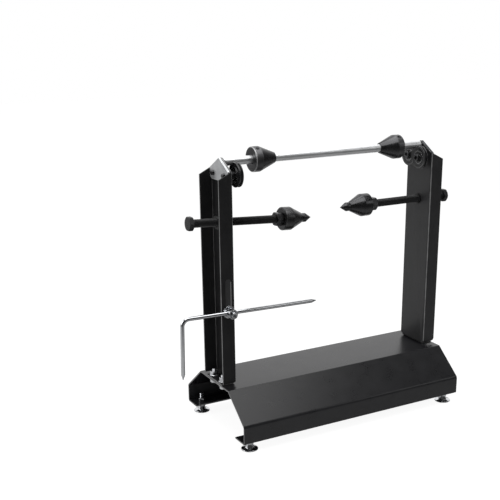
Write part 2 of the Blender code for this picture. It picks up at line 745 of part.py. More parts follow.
def build_shaft():
    axis = add_axis("shaft_axis", pointing((0, 0, SHAFT_HEIGHT), (1, 0, 0)))
    add_part("balance_shaft", shaft_mesh(), "chrome", parent=axis)
    lean = Matrix.Rotation(GRUB_LEAN, 4, "X")
    cones = (("left", -1, LEFT_CONE_SETBACK), ("right", 1, RIGHT_CONE_SETBACK))
    for name, side, setback in cones:
        place = Matrix.Translation((side * (WEB_FACE - setback), 0, SHAFT_HEIGHT)) @ lean
        cone_place = place @ pointing((0, 0, 0), (-side, 0, 0))
        add_part(name + "_shaft_cone", shaft_cone_mesh(), "black_oxide", cone_place)
        grub_place = place @ Matrix.Translation((-side * grub_height(), 0, 0))
        add_part(name + "_cone_grub_screw", grub_screw_mesh(), "black_oxide", grub_place)


# Screwed arms. Along an arm, Z = 0 is the middle of its web nut, and +Z runs to the point.

def arm_screw_mesh(reach):
    """Threaded bar with a hexagon head, and a thinner spigot that carries the cone."""
    spigot_end = reach - ARM_TIP_LENGTH + ARM_TIP_SOCKET - GAP
    step = reach - ARM_CONE_NOSE - ARM_CONE_STEP - GAP
    head_top = reach - ARM_LENGTH + ARM_HEAD_THICKNESS
    head_low = reach - ARM_LENGTH
    profile = [(0, spigot_end), (ARM_SPIGOT_RADIUS, spigot_end), (ARM_SPIGOT_RADIUS, step),
               (ARM_RADIUS, step), (ARM_RADIUS, head_top - ARM_HEAD_THICKNESS / 2),
               (0, head_top - ARM_HEAD_THICKNESS / 2)]
    head = chamfered_hexagon(ARM_HEAD_FLATS, -head_top, -head_low, chamfer_low=False)
    head = moved(head, Matrix.Rotation(math.pi, 4, "Y"))
    return combined(head, "UNION", [turned(profile, MEDIUM_STEPS)])


def arm_tip_mesh(reach):
    """Pointed cap on the end of the spigot, which keeps the cone on the arm."""
    back = reach - ARM_TIP_LENGTH
    bore = ARM_SPIGOT_RADIUS + GAP
    profile = [(0, reach), (ARM_POINT_RADIUS, reach), (ARM_TIP_RADIUS, reach - ARM_POINT_LENGTH),
               (ARM_TIP_RADIUS, back), (bore, back), (bore, back + ARM_TIP_SOCKET),
               (0, back + ARM_TIP_SOCKET)]
    return turned(profile, MEDIUM_STEPS)


def arm_cone_mesh(reach):
    """Cone with a stepped bore: it turns between the arm's shoulder and the tip."""
    nose = reach - ARM_CONE_NOSE
    back = reach - ARM_CONE_BACK
    band = back + ARM_CONE_CHAMFER
    narrow = ARM_SPIGOT_RADIUS + GAP
    wide = ARM_RADIUS + GAP
    profile = [
        (ARM_CONE_NOSE_RADIUS, nose), (ARM_CONE_RADIUS, band + ARM_CONE_BAND),
        (ARM_CONE_RADIUS, band), (ARM_CONE_RADIUS - ARM_CONE_CHAMFER, back), (wide, back),
        (wide, nose - ARM_CONE_STEP), (narrow, nose - ARM_CONE_STEP), (narrow, nose),
    ]
    return turned(profile, LARGE_STEPS)


def lock_nut_mesh(reach, setback):
    high = reach - ARM_CONE_BACK - setback
    low = high - LOCK_NUT_THICKNESS
    tool = cylinder(ARM_RADIUS + GAP, low - OVERRUN, high + OVERRUN, MEDIUM_STEPS)
    body = chamfered_hexagon(ARM_HEAD_FLATS, low, high)
    return combined(body, "DIFFERENCE", [tool])


def web_nut_mesh(droop):
    """Nut with a collar that sits in the web. Its bore is wide enough for the arm's droop."""
    high = WEB_NUT_SPAN / 2
    low = -high
    face = low + WEB_NUT_THICKNESS
    collar = cylinder(WEB_NUT_COLLAR_RADIUS, face - WEB_NUT_THICKNESS / 2, high, MEDIUM_STEPS)
    bore = ARM_RADIUS / math.cos(droop) + math.tan(droop) * high + GAP
    tool = cylinder(bore, low - OVERRUN, high + OVERRUN, MEDIUM_STEPS)
    hex_body = chamfered_hexagon(ARM_HEAD_FLATS, -face, -low, chamfer_low=False)
    body = moved(hex_body, Matrix.Rotation(math.pi, 4, "Y"))
    return combined(combined(body, "UNION", [collar]), "DIFFERENCE", [tool])


def build_arms():
    arms = (
        ("left", -1, LEFT_ARM_DROOP, ARM_START - LEFT_POINT_PLACE, LEFT_LOCK_NUT_SETBACK),
        ("right", 1, 0, ARM_START - RIGHT_POINT_PLACE, RIGHT_LOCK_NUT_SETBACK),
    )
    for name, side, droop, reach, setback in arms:
        point = (side * ARM_START, 0, ARM_HEIGHT)
        place = pointing(point, (-side, 0, 0))
        add_part(name + "_arm_web_nut", web_nut_mesh(droop), "black_oxide", place)
        direction = (-side * math.cos(droop), 0, -math.sin(droop))
        axis = add_axis(name + "_arm_axis", pointing(point, direction))
        add_part(name + "_arm_screw", arm_screw_mesh(reach), "black_oxide", parent=axis)
        add_part(name + "_arm_lock_nut", lock_nut_mesh(reach, setback), "black_oxide",
                 parent=axis)
        add_part(name + "_arm_cone", arm_cone_mesh(reach), "black_oxide", parent=axis)
        add_part(name + "_arm_tip", arm_tip_mesh(reach), "black_oxide", parent=axis)


# Pointer and its clamp. The clamp's frame has its origin where the rod crosses the clamp bolt.

def pointer_rod_mesh():
    """Rod bent once, with a point at both ends. X runs to the inner tip."""
    radius = POINTER_BEND_RADIUS
    bend_centre = (-POINTER_TAIL + radius, -radius)
    bend = arc(bend_centre, radius, math.pi / 2, math.pi, POINTER_BEND_STEPS)
    route = [(POINTER_REACH, 0), (POINTER_REACH - POINTER_TAPER, 0)] + bend
    route += [(-POINTER_TAIL, -POINTER_LEG + POINTER_TAPER), (-POINTER_TAIL, -POINTER_LEG)]
    curve = bpy.data.curves.new("rod", "CURVE")
    curve.dimensions = "3D"
    curve.bevel_depth = POINTER_RADIUS
    curve.bevel_resolution = POINTER_SIDES
    curve.use_fill_caps = True
    spline = curve.splines.new("POLY")
    spline.points.add(len(route) - 1)
    for point, (x, z) in zip(spline.points, route):
        point.co = (x, 0, z, 1)
    spline.points[0].radius = POINTER_TIP_SHARE
    spline.points[-1].radius = POINTER_TIP_SHARE
    return settled(new_object("rod", curve, tools))


def clamp_stations():
    """Heights along the clamp bolt, outwards from the rod's middle."""
    nut_low = POINTER_RADIUS + GAP
    nut_high = nut_low + CLAMP_NUT_THICKNESS
    washer_high = -POINTER_RADIUS - GAP
    washer_low = washer_high - CLAMP_WASHER_THICKNESS
    return nut_low, nut_high, washer_low, washer_high


def clamp_bolt_mesh():
    """Flanged bolt with a cross hole for the rod and a hexagon socket in its end."""
    _, nut_high, washer_low, _ = clamp_stations()
    end = nut_high + THREAD_END
    flange_high = washer_low - GAP - SHEET - GAP
    flange_low = flange_high - CLAMP_FLANGE_THICKNESS
    head_low = flange_low - CLAMP_HEAD_THICKNESS
    chamfer = CLAMP_CHAMFER
    profile = [
        (0, end), (CLAMP_RADIUS - chamfer, end), (CLAMP_RADIUS, end - chamfer),
        (CLAMP_RADIUS, flange_high), (CLAMP_FLANGE_RADIUS, flange_high),
        (CLAMP_FLANGE_RADIUS, flange_low), (CLAMP_HEAD_RADIUS, flange_low),
        (CLAMP_HEAD_RADIUS, head_low + chamfer), (CLAMP_HEAD_RADIUS - chamfer, head_low),
        (0, head_low),
    ]
    reach = CLAMP_RADIUS + OVERRUN
    cross_hole = cylinder(POINTER_RADIUS + GAP, -reach, reach, SMALL_STEPS)
    cross_hole = moved(cross_hole, Matrix.Rotation(math.pi / 2, 4, "Y"))
    socket = hexagon(CLAMP_SOCKET_FLATS, end - CLAMP_SOCKET_DEPTH, end + OVERRUN)
    return combined(turned(profile, MEDIUM_STEPS), "DIFFERENCE", [cross_hole, socket])


def build_pointer():
    nut_low, nut_high, washer_low, washer_high = clamp_stations()
    tilt = Matrix.Rotation(POINTER_TILT, 4, "Y")
    middle = (-WEB_FACE - POINTER_OFFSET, POINTER_PLANE, POINTER_HEIGHT)
    axis = add_axis("pointer_axis", Matrix.Translation(middle) @ tilt)
    outward = pointing((0, 0, 0), (0, -1, 0))
    bore = CLAMP_RADIUS + GAP
    add_part("pointer_rod", pointer_rod_mesh(), "chrome", parent=axis)
    add_part("pointer_clamp_bolt", clamp_bolt_mesh(), "chrome", outward, axis)
    tool = cylinder(bore, nut_low - OVERRUN, nut_high + OVERRUN, MEDIUM_STEPS)
    nut = combined(chamfered_hexagon(CLAMP_NUT_FLATS, nut_low, nut_high), "DIFFERENCE", [tool])
    turn = Matrix.Rotation(CLAMP_NUT_TURN, 4, "Z")
    add_part("pointer_clamp_nut", nut, "chrome", outward @ turn, axis)
    washer = ring(CLAMP_WASHER_RADIUS, bore, washer_low, washer_high, MEDIUM_STEPS)
    add_part("pointer_clamp_washer", washer, "chrome", outward, axis)


# Levelling feet

def foot_mesh():
    """Pad, hub, hexagon and stud in one piece. Z = 0 is the underside of the base's return."""
    hex_high = -GAP
    hex_low = hex_high - FOOT_HEX_THICKNESS
    bottom = -FOOT_HEIGHT
    rim = bottom + FOOT_RIM
    edge = FOOT_CHAMFER
    stud = FOOT_STUD_RADIUS
    profile = [
        (0, FOOT_STUD_RISE), (stud - edge, FOOT_STUD_RISE), (stud, FOOT_STUD_RISE - edge),
        (stud, hex_low + FOOT_HEX_THICKNESS / 2), (FOOT_HUB_RADIUS, hex_low),
        (FOOT_HUB_FOOT_RADIUS, rim + FOOT_DISH), (FOOT_RADIUS, rim),
        (FOOT_RADIUS, bottom + edge), (FOOT_RADIUS - edge, bottom), (0, bottom),
    ]
    hex_body = hexagon(FOOT_HEX_FLATS, hex_low, hex_high)
    return combined(turned(profile, MEDIUM_STEPS), "UNION", [hex_body])


def build_feet():
    foot = foot_mesh()
    nut_low = SHEET + GAP
    nut = plain_nut(FOOT_HEX_FLATS, nut_low, nut_low + FOOT_NUT_THICKNESS,
                    FOOT_STUD_RADIUS + GAP)
    for name, side, row in CORNERS:
        place = foot_place(side, row)
        add_part(name + "_foot", foot.copy(), "chrome", place)
        add_part(name + "_foot_nut", nut.copy(), "chrome", place)


def place_on_bench():
    """Move the whole part, so that it stands on Z = 0 with its box centred on the origin."""
    shift = Matrix.Translation((STAND_MIDDLE, 0, BASE_HEIGHT + FOOT_HEIGHT))
    for obj in parts.objects:
        if obj.parent is None:
            obj.matrix_basis = shift @ obj.matrix_basis


for old in list(bpy.data.objects):
    bpy.data.objects.remove(old, do_unlink=True)
parts = new_collection("motorcycle_wheel_balancer")
tools = new_collection("cutting_tools")
build_stand()
build_rollers()
build_shaft()
build_arms()
build_pointer()
build_feet()
place_on_bench()
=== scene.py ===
"""Looks of the motorcycle wheel balancer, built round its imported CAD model.

Sheet pieces are copies of the CAD solids with broken edges, apart from the base, which is folded
again with a rounder fold above each skirt. Every turned, hexagonal or threaded piece is rebuilt
with a fine surface in the place of its CAD node. Units are metres, in the CAD model's frame: +Z
is up, +X runs along the shaft, and the part stands on Z = 0.
"""

import json
import math

import bmesh
import bpy
from mathutils import Matrix, Vector


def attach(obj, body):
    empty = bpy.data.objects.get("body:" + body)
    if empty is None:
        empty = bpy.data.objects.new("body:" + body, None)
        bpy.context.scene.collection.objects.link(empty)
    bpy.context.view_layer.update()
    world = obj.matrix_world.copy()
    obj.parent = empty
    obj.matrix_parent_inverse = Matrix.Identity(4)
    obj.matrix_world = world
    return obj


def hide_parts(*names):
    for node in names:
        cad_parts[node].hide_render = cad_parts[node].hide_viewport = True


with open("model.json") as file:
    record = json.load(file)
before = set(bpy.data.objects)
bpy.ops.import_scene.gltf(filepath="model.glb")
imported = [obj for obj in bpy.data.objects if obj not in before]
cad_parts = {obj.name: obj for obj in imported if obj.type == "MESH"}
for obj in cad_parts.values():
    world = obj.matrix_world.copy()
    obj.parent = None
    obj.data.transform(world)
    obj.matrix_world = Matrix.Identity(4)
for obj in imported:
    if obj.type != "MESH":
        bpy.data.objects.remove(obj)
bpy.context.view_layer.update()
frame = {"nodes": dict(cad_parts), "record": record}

record = frame["record"]
BODY_OF = {node: body for body, nodes in record["behaviour"]["bodies"].items() for node in nodes}
SLOT_OF = {item["node"]: item["material_slot"] for item in record["subparts"]}

# Sizes repeated from the CAD source
GAP = 0.0003
SHEET = 0.0025
BEND_RADIUS = 0.0036
BASE_TOP_WIDTH = 0.109
BASE_HEIGHT = 0.0785
BASE_SKIRT_HEIGHT = 0.0328
BASE_RETURN_WIDTH = 0.0337
FOOT_HEIGHT = 0.0167
STAND_MIDDLE = 0.0212
WEB_FACE = 0.2008
SHAFT_HEIGHT = 0.3762
SHAFT_RADIUS = 0.007
SHAFT_END = 0.1996
UPRIGHT_BOLT_OFFSET = 0.0160
UPRIGHT_BOLT_PITCH = 0.035
M8_RADIUS = 0.004
M8_PITCH = 0.00125
M8_FLATS = 0.013
M8_NUT_THICKNESS = 0.0065
M8_HEAD_THICKNESS = 0.0053
M8_FLANGE_RADIUS = 0.0083
M8_FLANGE_THICKNESS = 0.0016
THREAD_END = 0.004
ROLLER_RADIUS = 0.0202
ROLLER_WIDTH = 0.0074
ROLLER_RIM = 0.0016
ROLLER_GROOVE_DEPTH = 0.0032
ROLLER_PITCH = 0.039
ROLLER_SIDE_GAP = 0.0005
REAR_ROLLER_SETBACK = 0.0035
BEARING_RADIUS = 0.011
BEARING_WIDTH = 0.007
BEARING_RACE = 0.0016
INNER_RING_RADIUS = 0.006
PLATE_THICKNESS = 0.004
CAP_HEAD_RADIUS = 0.0065
CAP_HEAD_HEIGHT = 0.005
CAP_SOCKET_FLATS = 0.006
CAP_SOCKET_DEPTH = 0.003
SHAFT_CONE_RADIUS = 0.021
SHAFT_CONE_NOSE_RADIUS = 0.0090
SHAFT_CONE_BAND = 0.0120
SHAFT_CONE_TAPER = 0.0300
SHAFT_CONE_CHAMFER = 0.0010
LEFT_CONE_SETBACK = 0.0532
RIGHT_CONE_SETBACK = 0.0483
GRUB_RADIUS = 0.003
GRUB_SUNK = 0.0008
GRUB_SOCKET_FLATS = 0.003
GRUB_LEAN = math.radians(28)
ARM_HEIGHT = 0.2777
ARM_RADIUS = 0.007
ARM_PITCH = 0.0015
ARM_LENGTH = 0.2345
LEFT_ARM_DROOP = math.radians(3.42)
LEFT_POINT_PLACE = 0.0318
RIGHT_POINT_PLACE = 0.0291
ARM_HEAD_FLATS = 0.022
ARM_HEAD_THICKNESS = 0.008
ARM_SPIGOT_RADIUS = 0.005
ARM_TIP_RADIUS = 0.00775
ARM_POINT_LENGTH = 0.0118
ARM_TIP_LENGTH = 0.0183
ARM_TIP_SOCKET = 0.0053
ARM_CONE_RADIUS = 0.020
ARM_CONE_NOSE_RADIUS = 0.0078
ARM_CONE_TAPER = 0.0245
ARM_CONE_BAND = 0.0150
ARM_CONE_CHAMFER = 0.0015
ARM_CONE_STEP = 0.012
WEB_NUT_THICKNESS = 0.011
WEB_NUT_COLLAR_RADIUS = 0.0093
WEB_NUT_COLLAR_REACH = 0.003
LOCK_NUT_THICKNESS = 0.012
LEFT_LOCK_NUT_SETBACK = 0.0003
RIGHT_LOCK_NUT_SETBACK = 0.0030
POINTER_HEIGHT = 0.1333
POINTER_OFFSET = 0.0122
POINTER_RADIUS = 0.0035
POINTER_TILT = math.radians(1.3)
POINTER_REACH = 0.1675
POINTER_TAIL = 0.0873
POINTER_LEG = 0.1044
POINTER_BEND_RADIUS = 0.012
POINTER_TAPER = 0.010
POINTER_TIP_SHARE = 0.12
UPRIGHT_WIDTH = 0.0730
CLAMP_RADIUS = 0.005
CLAMP_WASHER_RADIUS = 0.0107
CLAMP_WASHER_THICKNESS = 0.002
CLAMP_NUT_FLATS = 0.016
CLAMP_NUT_THICKNESS = 0.0084
CLAMP_NUT_TURN = math.radians(14)
CLAMP_HEAD_RADIUS = 0.0065
CLAMP_HEAD_THICKNESS = 0.006
CLAMP_FLANGE_RADIUS = 0.0083
CLAMP_FLANGE_THICKNESS = 0.0016
CLAMP_SOCKET_FLATS = 0.0045
CLAMP_THREAD_END = 0.004
BASE_LENGTH = 0.4525
BASE_WIDTH = 0.2222
FOOT_INSET_X = 0.0185
FOOT_INSET_Y = 0.0171
FOOT_RADIUS = 0.0145
FOOT_RIM = 0.0016
FOOT_DISH = 0.0020
FOOT_HUB_RADIUS = 0.0052
FOOT_HUB_FOOT_RADIUS = 0.0075
FOOT_STUD_RISE = 0.019
FOOT_HEX_THICKNESS = 0.0065
FOOT_NUT_THICKNESS = 0.006

# Fineness and edges
FINE_STEPS = 120                # columns round a turned piece, a multiple of 6
SCREW_STEPS = 96
HOLE_STEPS = 48
THREAD_ROWS = 8                 # rows in one turn of a thread
THREAD_DEPTH_SHARE = 0.55       # of the pitch
CORNER_ROWS = 4                 # rows round a softened corner
CHAMFER_ROWS = 8
BEND_ROWS = 10
SLOPE_BEND_RADIUS = 0.0078      # the fold above the skirt is rounder than the others
CORNER_SHARE = 2.1              # a corner takes no more of an edge than one part in this
HEX_CORNER_CUT = 0.00025
HEX_CHAMFER = math.radians(30)
EDGE_RADIUS = 0.0003
EDGE_SEGMENTS = 2
SHARP_ANGLE = math.radians(32)
MERGE_DISTANCE = 0.00001
FINE_MERGE_DISTANCE = MERGE_DISTANCE / 10
FLAT_ANGLE = math.radians(0.5)
CUT_REACH = 0.01                # of a drill, each way
THREAD_LEAD = 0.0006            # chamfers in a bore and at a screw's end
SCREW_POINT = 0.0007
SOCKET_LEAD = 0.0003
FLANGE_BLEND = 0.0006           # where a flange rises to its hexagon, across and up
FLANGE_RISE = 0.0004
FLANGE_EDGE = 0.0002
UNDER_HEAD = 0.0004             # bare shank between a head and its thread
SHEET_EDGE = 0.0004
PLATE_EDGE = 0.0005

CORNERS = (
    ("left_front", -1, -1), ("left_rear", -1, 1), ("right_front", 1, -1), ("right_rear", 1, 1),
)
ON_BENCH = Matrix.Translation((STAND_MIDDLE, 0, BASE_HEIGHT + FOOT_HEIGHT))
TAU = 2 * math.pi


# Materials

MASK_LOW = 0.3                  # between these lies most of a noise
MASK_HIGH = 0.7
CLOUD_SCALE = 40
CLOUD_DETAIL = 3
GRAIN_DETAIL = 2
TURNED = (0.05, 0.05, 1)        # rings round the axis of a turned piece
DRAWN = (1, 1, 0.02)            # lines along the axis
BRUSHED = (0.04, 1, 0.04)       # lines up a plate


def node_of(tree, kind, **values):
    node = tree.nodes.new(kind)
    for key, value in values.items():
        setattr(node, key, value)
    return node


def noise_mask(tree, coordinate, scale, stretch, detail):
    """Noise in the piece's own coordinates, stretched by a factor along each axis."""
    mapping = node_of(tree, "ShaderNodeMapping")
    mapping.inputs["Scale"].default_value = stretch
    noise = node_of(tree, "ShaderNodeTexNoise")
    noise.inputs["Scale"].default_value = scale
    noise.inputs["Detail"].default_value = detail
    tree.links.new(coordinate, mapping.inputs["Vector"])
    tree.links.new(mapping.outputs["Vector"], noise.inputs["Vector"])
    return noise.outputs["Fac"]


def ranged(tree, mask, low, high):
    """Spread the middle of a mask over a range of values."""
    spread = node_of(tree, "ShaderNodeMapRange")
    spread.inputs["From Min"].default_value = MASK_LOW
    spread.inputs["From Max"].default_value = MASK_HIGH
    spread.inputs["To Min"].default_value = low
    spread.inputs["To Max"].default_value = high
    tree.links.new(mask, spread.inputs["Value"])
    return spread.outputs["Result"]


def surface(name, dark, light, metallic, roughness, specular=0.5, bump=0.1, bump_size=0.00002,
            grain=1800, grain_stretch=(1, 1, 1)):
    """A finish with uneven colour and gloss, and a fine grain in relief."""
    material = bpy.data.materials.new(name)
    material.use_nodes = True
    tree = material.node_tree
    shader = tree.nodes["Principled BSDF"]
    shader.inputs["Metallic"].default_value = metallic
    shader.inputs["Specular IOR Level"].default_value = specular
    coordinate = node_of(tree, "ShaderNodeTexCoord").outputs["Object"]
    clouds = noise_mask(tree, coordinate, CLOUD_SCALE, (1, 1, 1), CLOUD_DETAIL)
    fine = noise_mask(tree, coordinate, grain, grain_stretch, GRAIN_DETAIL)
    blend = node_of(tree, "ShaderNodeMix", data_type="RGBA")
    blend.inputs["A"].default_value = (*dark, 1)
    blend.inputs["B"].default_value = (*light, 1)
    tree.links.new(ranged(tree, clouds, 0, 1), blend.inputs["Factor"])
    tree.links.new(blend.outputs["Result"], shader.inputs["Base Color"])
    low, high = roughness
    total = node_of(tree, "ShaderNodeMath", operation="ADD")
    total.use_clamp = True
    tree.links.new(ranged(tree, clouds, low, (low + high) / 2), total.inputs[0])
    tree.links.new(ranged(tree, fine, 0, (high - low) / 2), total.inputs[1])
    tree.links.new(total.outputs["Value"], shader.inputs["Roughness"])
    relief = node_of(tree, "ShaderNodeBump")
    relief.inputs["Strength"].default_value = bump
    relief.inputs["Distance"].default_value = bump_size
    tree.links.new(fine, relief.inputs["Height"])
    tree.links.new(relief.outputs["Normal"], shader.inputs["Normal"])
    return material


MATERIALS = {
    "base_paint": surface("base_paint", (0.008, 0.008, 0.0092), (0.011, 0.011, 0.0125), 0.0,
                          (0.26, 0.34), bump=0.5, bump_size=0.00006, grain=700),
    # The two uprights carry one paint in two copies: the left copy darker and less glossy as
    # painted shade, the right copy lighter and glossier as painted light.
    "left_upright_shaded_paint": surface("left_upright_shaded_paint", (0.011, 0.011, 0.0115), (0.015, 0.015, 0.0155), 0.0,
                          (0.34, 0.44), specular=0.12, bump=0.5, bump_size=0.00006, grain=700),
    "right_upright_lit_paint": surface("right_upright_lit_paint", (0.0145, 0.0145, 0.0155), (0.0185, 0.0185, 0.0195), 0.0,
                           (0.34, 0.44), specular=0.44, bump=0.5, bump_size=0.00006, grain=700),
    "cut_edge": surface("cut_edge", (0.12, 0.12, 0.122), (0.20, 0.20, 0.202), 0.2,
                        (0.30, 0.45), bump=0.3, grain=900),
    # Light paint on the crests of the uprights' folds: a painted highlight.
    "fold_highlight_paint": surface("fold_highlight_paint", (0.12, 0.12, 0.122), (0.22, 0.22, 0.222), 0.1,
                            (0.24, 0.34), bump=0.4, bump_size=0.00005, grain=700),
    # Darkened zinc for the right roller plate's gable slopes: painted shade.
    "shaded_plate_gable": surface("shaded_plate_gable", (0.04, 0.042, 0.047), (0.07, 0.072, 0.08), 0.7,
                         (0.30, 0.40), bump=0.4, grain=900),
    # Light metal round the back corner of each shaft cone: a painted highlight.
    "shaft_cone_rim_highlight": surface("shaft_cone_rim_highlight", (0.35, 0.35, 0.355), (0.55, 0.55, 0.555), 0.7,
                          (0.24, 0.36), bump=0.4, grain=900),
    # Lighter metal round the back corner of each arm cone: a painted highlight.
    "arm_cone_rim_highlight": surface("arm_cone_rim_highlight", (0.06, 0.06, 0.062), (0.14, 0.14, 0.142), 0.7,
                          (0.24, 0.36), bump=0.4, grain=900),
    "zinc": surface("zinc", (0.46, 0.47, 0.48), (0.58, 0.59, 0.60), 0.75, (0.34, 0.48),
                    bump=0.4, bump_size=0.00005, grain=500, grain_stretch=BRUSHED),
    "chrome": surface("chrome", (0.62, 0.63, 0.65), (0.72, 0.73, 0.75), 1.0, (0.06, 0.16),
                      bump=0.15, grain=500, grain_stretch=TURNED),
    "ground_steel": surface("ground_steel", (0.86, 0.87, 0.88), (0.93, 0.94, 0.95), 1.0,
                            (0.38, 0.46), bump=0.2, grain=700, grain_stretch=DRAWN),
    "rod_plate": surface("rod_plate", (0.64, 0.65, 0.67), (0.74, 0.75, 0.77), 1.0, (0.05, 0.10),
                         bump=0.04, grain=300),
    "black_oxide": surface("black_oxide", (0.060, 0.060, 0.062), (0.095, 0.095, 0.098), 0.95,
                           (0.20, 0.32), bump=0.6, bump_size=0.00004, grain=900,
                           grain_stretch=TURNED),
    "arm_black": surface("arm_black", (0.010, 0.010, 0.0105), (0.02, 0.02, 0.021), 0.3,
                         (0.36, 0.52), bump=0.6, bump_size=0.00005, grain=900),
    "nylon": surface("nylon", (0.010, 0.010, 0.011), (0.016, 0.016, 0.017), 0.0, (0.10, 0.20),
                     specular=0.6, bump=0.2, bump_size=0.00003, grain=900, grain_stretch=TURNED),
    "seal": surface("seal", (0.006, 0.006, 0.0065), (0.010, 0.010, 0.010), 0.0, (0.45, 0.6),
                    bump=0.3, grain=900),
    "bearing_steel": surface("bearing_steel", (0.40, 0.40, 0.41), (0.55, 0.55, 0.56), 1.0,
                             (0.12, 0.22), bump=0.2, grain=900, grain_stretch=TURNED),
    "band_oxide": surface("band_oxide", (0.090, 0.090, 0.093), (0.130, 0.130, 0.134), 0.95,
                          (0.34, 0.44), bump=0.6, bump_size=0.00004, grain=900,
                          grain_stretch=TURNED),
}
MATERIAL_OF_SLOT = {
    "zinc": "zinc", "chrome": "chrome", "black_oxide": "black_oxide", "roller_black": "nylon",
    "bearing_steel": "bearing_steel",
}


# Mesh helpers

def link(name, mesh):
    obj = bpy.data.objects.new(name, mesh)
    bpy.context.scene.collection.objects.link(obj)
    return obj


def mesh_from(vertices, faces):
    mesh = bpy.data.meshes.new("surface")
    mesh.from_pydata(vertices, [], faces)
    bm = bmesh.new()
    bm.from_mesh(mesh)
    bmesh.ops.remove_doubles(bm, verts=bm.verts, dist=FINE_MERGE_DISTANCE)
    bmesh.ops.recalc_face_normals(bm, faces=bm.faces)
    bm.to_mesh(mesh)
    bm.free()
    return mesh


def lathe(rows, steps=FINE_STEPS):
    """Surface from (radius, height) rows about Z. A radius is a number, or depends on the
    angle. Rows that start and end on the axis close there, and others close on themselves."""
    vertices = []
    for radius, height in rows:
        for column in range(steps):
            angle = TAU * column / steps
            r = radius(angle) if callable(radius) else radius
            vertices.append((r * math.cos(angle), r * math.sin(angle), height))
    on_axis = rows[0][0] == 0
    pairs = list(zip(range(len(rows)), range(1, len(rows))))
    if not on_axis:
        pairs.append((len(rows) - 1, 0))
    faces = []
    for a, b in pairs:
        for column in range(steps):
            after = (column + 1) % steps
            corners = [a * steps + column, a * steps + after, b * steps + after,
                       b * steps + column]
            if rows[a][0] == 0:
                corners = [a * steps] + corners[2:]
            elif rows[b][0] == 0:
                corners = corners[:2] + [b * steps]
            faces.append(corners)
    return mesh_from(vertices, faces)


def softened(points, radius=EDGE_RADIUS):
    """Round the corners of a section, apart from its two ends where it meets the axis."""
    count = len(points)
    closed = points[0][0] != 0
    rows = []
    for i, point in enumerate(points):
        if not closed and i in (0, count - 1):
            rows.append(point)
            continue
        here = Vector(point)
        before = Vector(points[i - 1]) - here
        after = Vector(points[(i + 1) % count]) - here
        reach = min(radius, before.length / CORNER_SHARE, after.length / CORNER_SHARE)
        start = here + before.normalized() * reach
        end = here + after.normalized() * reach
        for k in range(CORNER_ROWS + 1):
            t = k / CORNER_ROWS
            bend = start * (1 - t) ** 2 + here * (2 * t * (1 - t)) + end * t ** 2
            rows.append((bend.x, bend.y))
    return rows


def hexagonal(flats, limit):
    """Radius of a hexagon at an angle, no larger than a limit."""
    def radius(angle):
        off = (angle % (math.pi / 3)) - math.pi / 6
        return min(limit, flats / 2 / math.cos(off))
    return radius


def hex_rows(flats, low, high, chamfer_low, chamfer_high):
    """Rows up the outside of a hexagon, with the corners turned off where it has a chamfer."""
    face = flats / 2
    corner = flats / math.sqrt(3)
    fall = (corner - face) * math.tan(HEX_CHAMFER)
    top = corner - HEX_CORNER_CUT
    rows = []
    if chamfer_low:
        rows += [(hexagonal(flats, face + (top - face) * k / CHAMFER_ROWS),
                  low + fall * k / CHAMFER_ROWS) for k in range(CHAMFER_ROWS)]
    rows.append((hexagonal(flats, top), low + (fall if chamfer_low else 0)))
    rows.append((hexagonal(flats, top), high - (fall if chamfer_high else 0)))
    if chamfer_high:
        rows += [(hexagonal(flats, top - (top - face) * k / CHAMFER_ROWS),
                  high - fall + fall * k / CHAMFER_ROWS) for k in range(1, CHAMFER_ROWS + 1)]
    return rows


def socket_rows(flats, depth, mouth, down):
    """Rows of a hexagon socket from its mouth to the drill's point at its centre. down is the
    way it goes in."""
    wall = hexagonal(flats, flats)
    point = flats / 6
    return [(flats / math.sqrt(3) + SOCKET_LEAD, mouth), (wall, mouth + down * SOCKET_LEAD),
            (wall, mouth + down * depth), (0, mouth + down * (depth + point))]


def thread_rows(radius, pitch, low, high):
    """Rows of a screw thread, which fades out over half a turn at each end."""
    depth = pitch * THREAD_DEPTH_SHARE
    count = max(2, round((high - low) / pitch * THREAD_ROWS))
    rows = []
    for k in range(count + 1):
        z = low + (high - low) * k / count
        fade = min(1, (z - low) / (pitch / 2), (high - z) / (pitch / 2))

        def at(angle, z=z, fade=fade):
            turn = (z / pitch - angle / TAU) % 1
            return radius - depth * max(0, fade) * abs(2 * turn - 1)
        rows.append((at, z))
    return rows


def nut_mesh(flats, low, high, bore):
    """Nut with both faces turned off at the corners and a countersunk bore."""
    rows = hex_rows(flats, low, high, True, True)
    rows += [(bore + THREAD_LEAD, high), (bore, high - THREAD_LEAD), (bore, low + THREAD_LEAD),
             (bore + THREAD_LEAD, low)]
    return lathe(rows)


def pointing(point, direction):
    turn = Vector(direction).to_track_quat("Z", "Y")
    return Matrix.Translation(point) @ turn.to_matrix().to_4x4()


def cut(mesh, tools):
    """Take tools out of a mesh."""
    obj = link("cut", mesh)
    helpers = []
    for tool in tools:
        helper = link("tool", tool)
        boolean = obj.modifiers.new("Cut", "BOOLEAN")
        boolean.operation = "DIFFERENCE"
        boolean.solver = "EXACT"
        boolean.object = helper
        helpers.append(helper)
    graph = bpy.context.evaluated_depsgraph_get()
    result = bpy.data.meshes.new_from_object(obj.evaluated_get(graph))
    for used in [obj] + helpers:
        bpy.data.objects.remove(used)
    return result


def drill_mesh(radius, low, high):
    """Tool that drills a round hole along Z."""
    return lathe([(0, low), (radius, low), (radius, high), (0, high)], HOLE_STEPS)


def turned(mesh, angle):
    """Turn a mesh about its own axis."""
    mesh.transform(Matrix.Rotation(angle, 4, "Z"))
    return mesh


def marked(mesh, finish, is_marked):
    """Give another finish to the faces at some radii and heights of a turned section."""
    if not mesh.materials:
        mesh.materials.append(None)
    mesh.materials.append(MATERIALS[finish])
    for face in mesh.polygons:
        x, y, z = face.center
        if is_marked(math.hypot(x, y), z):
            face.material_index = len(mesh.materials) - 1
    return mesh


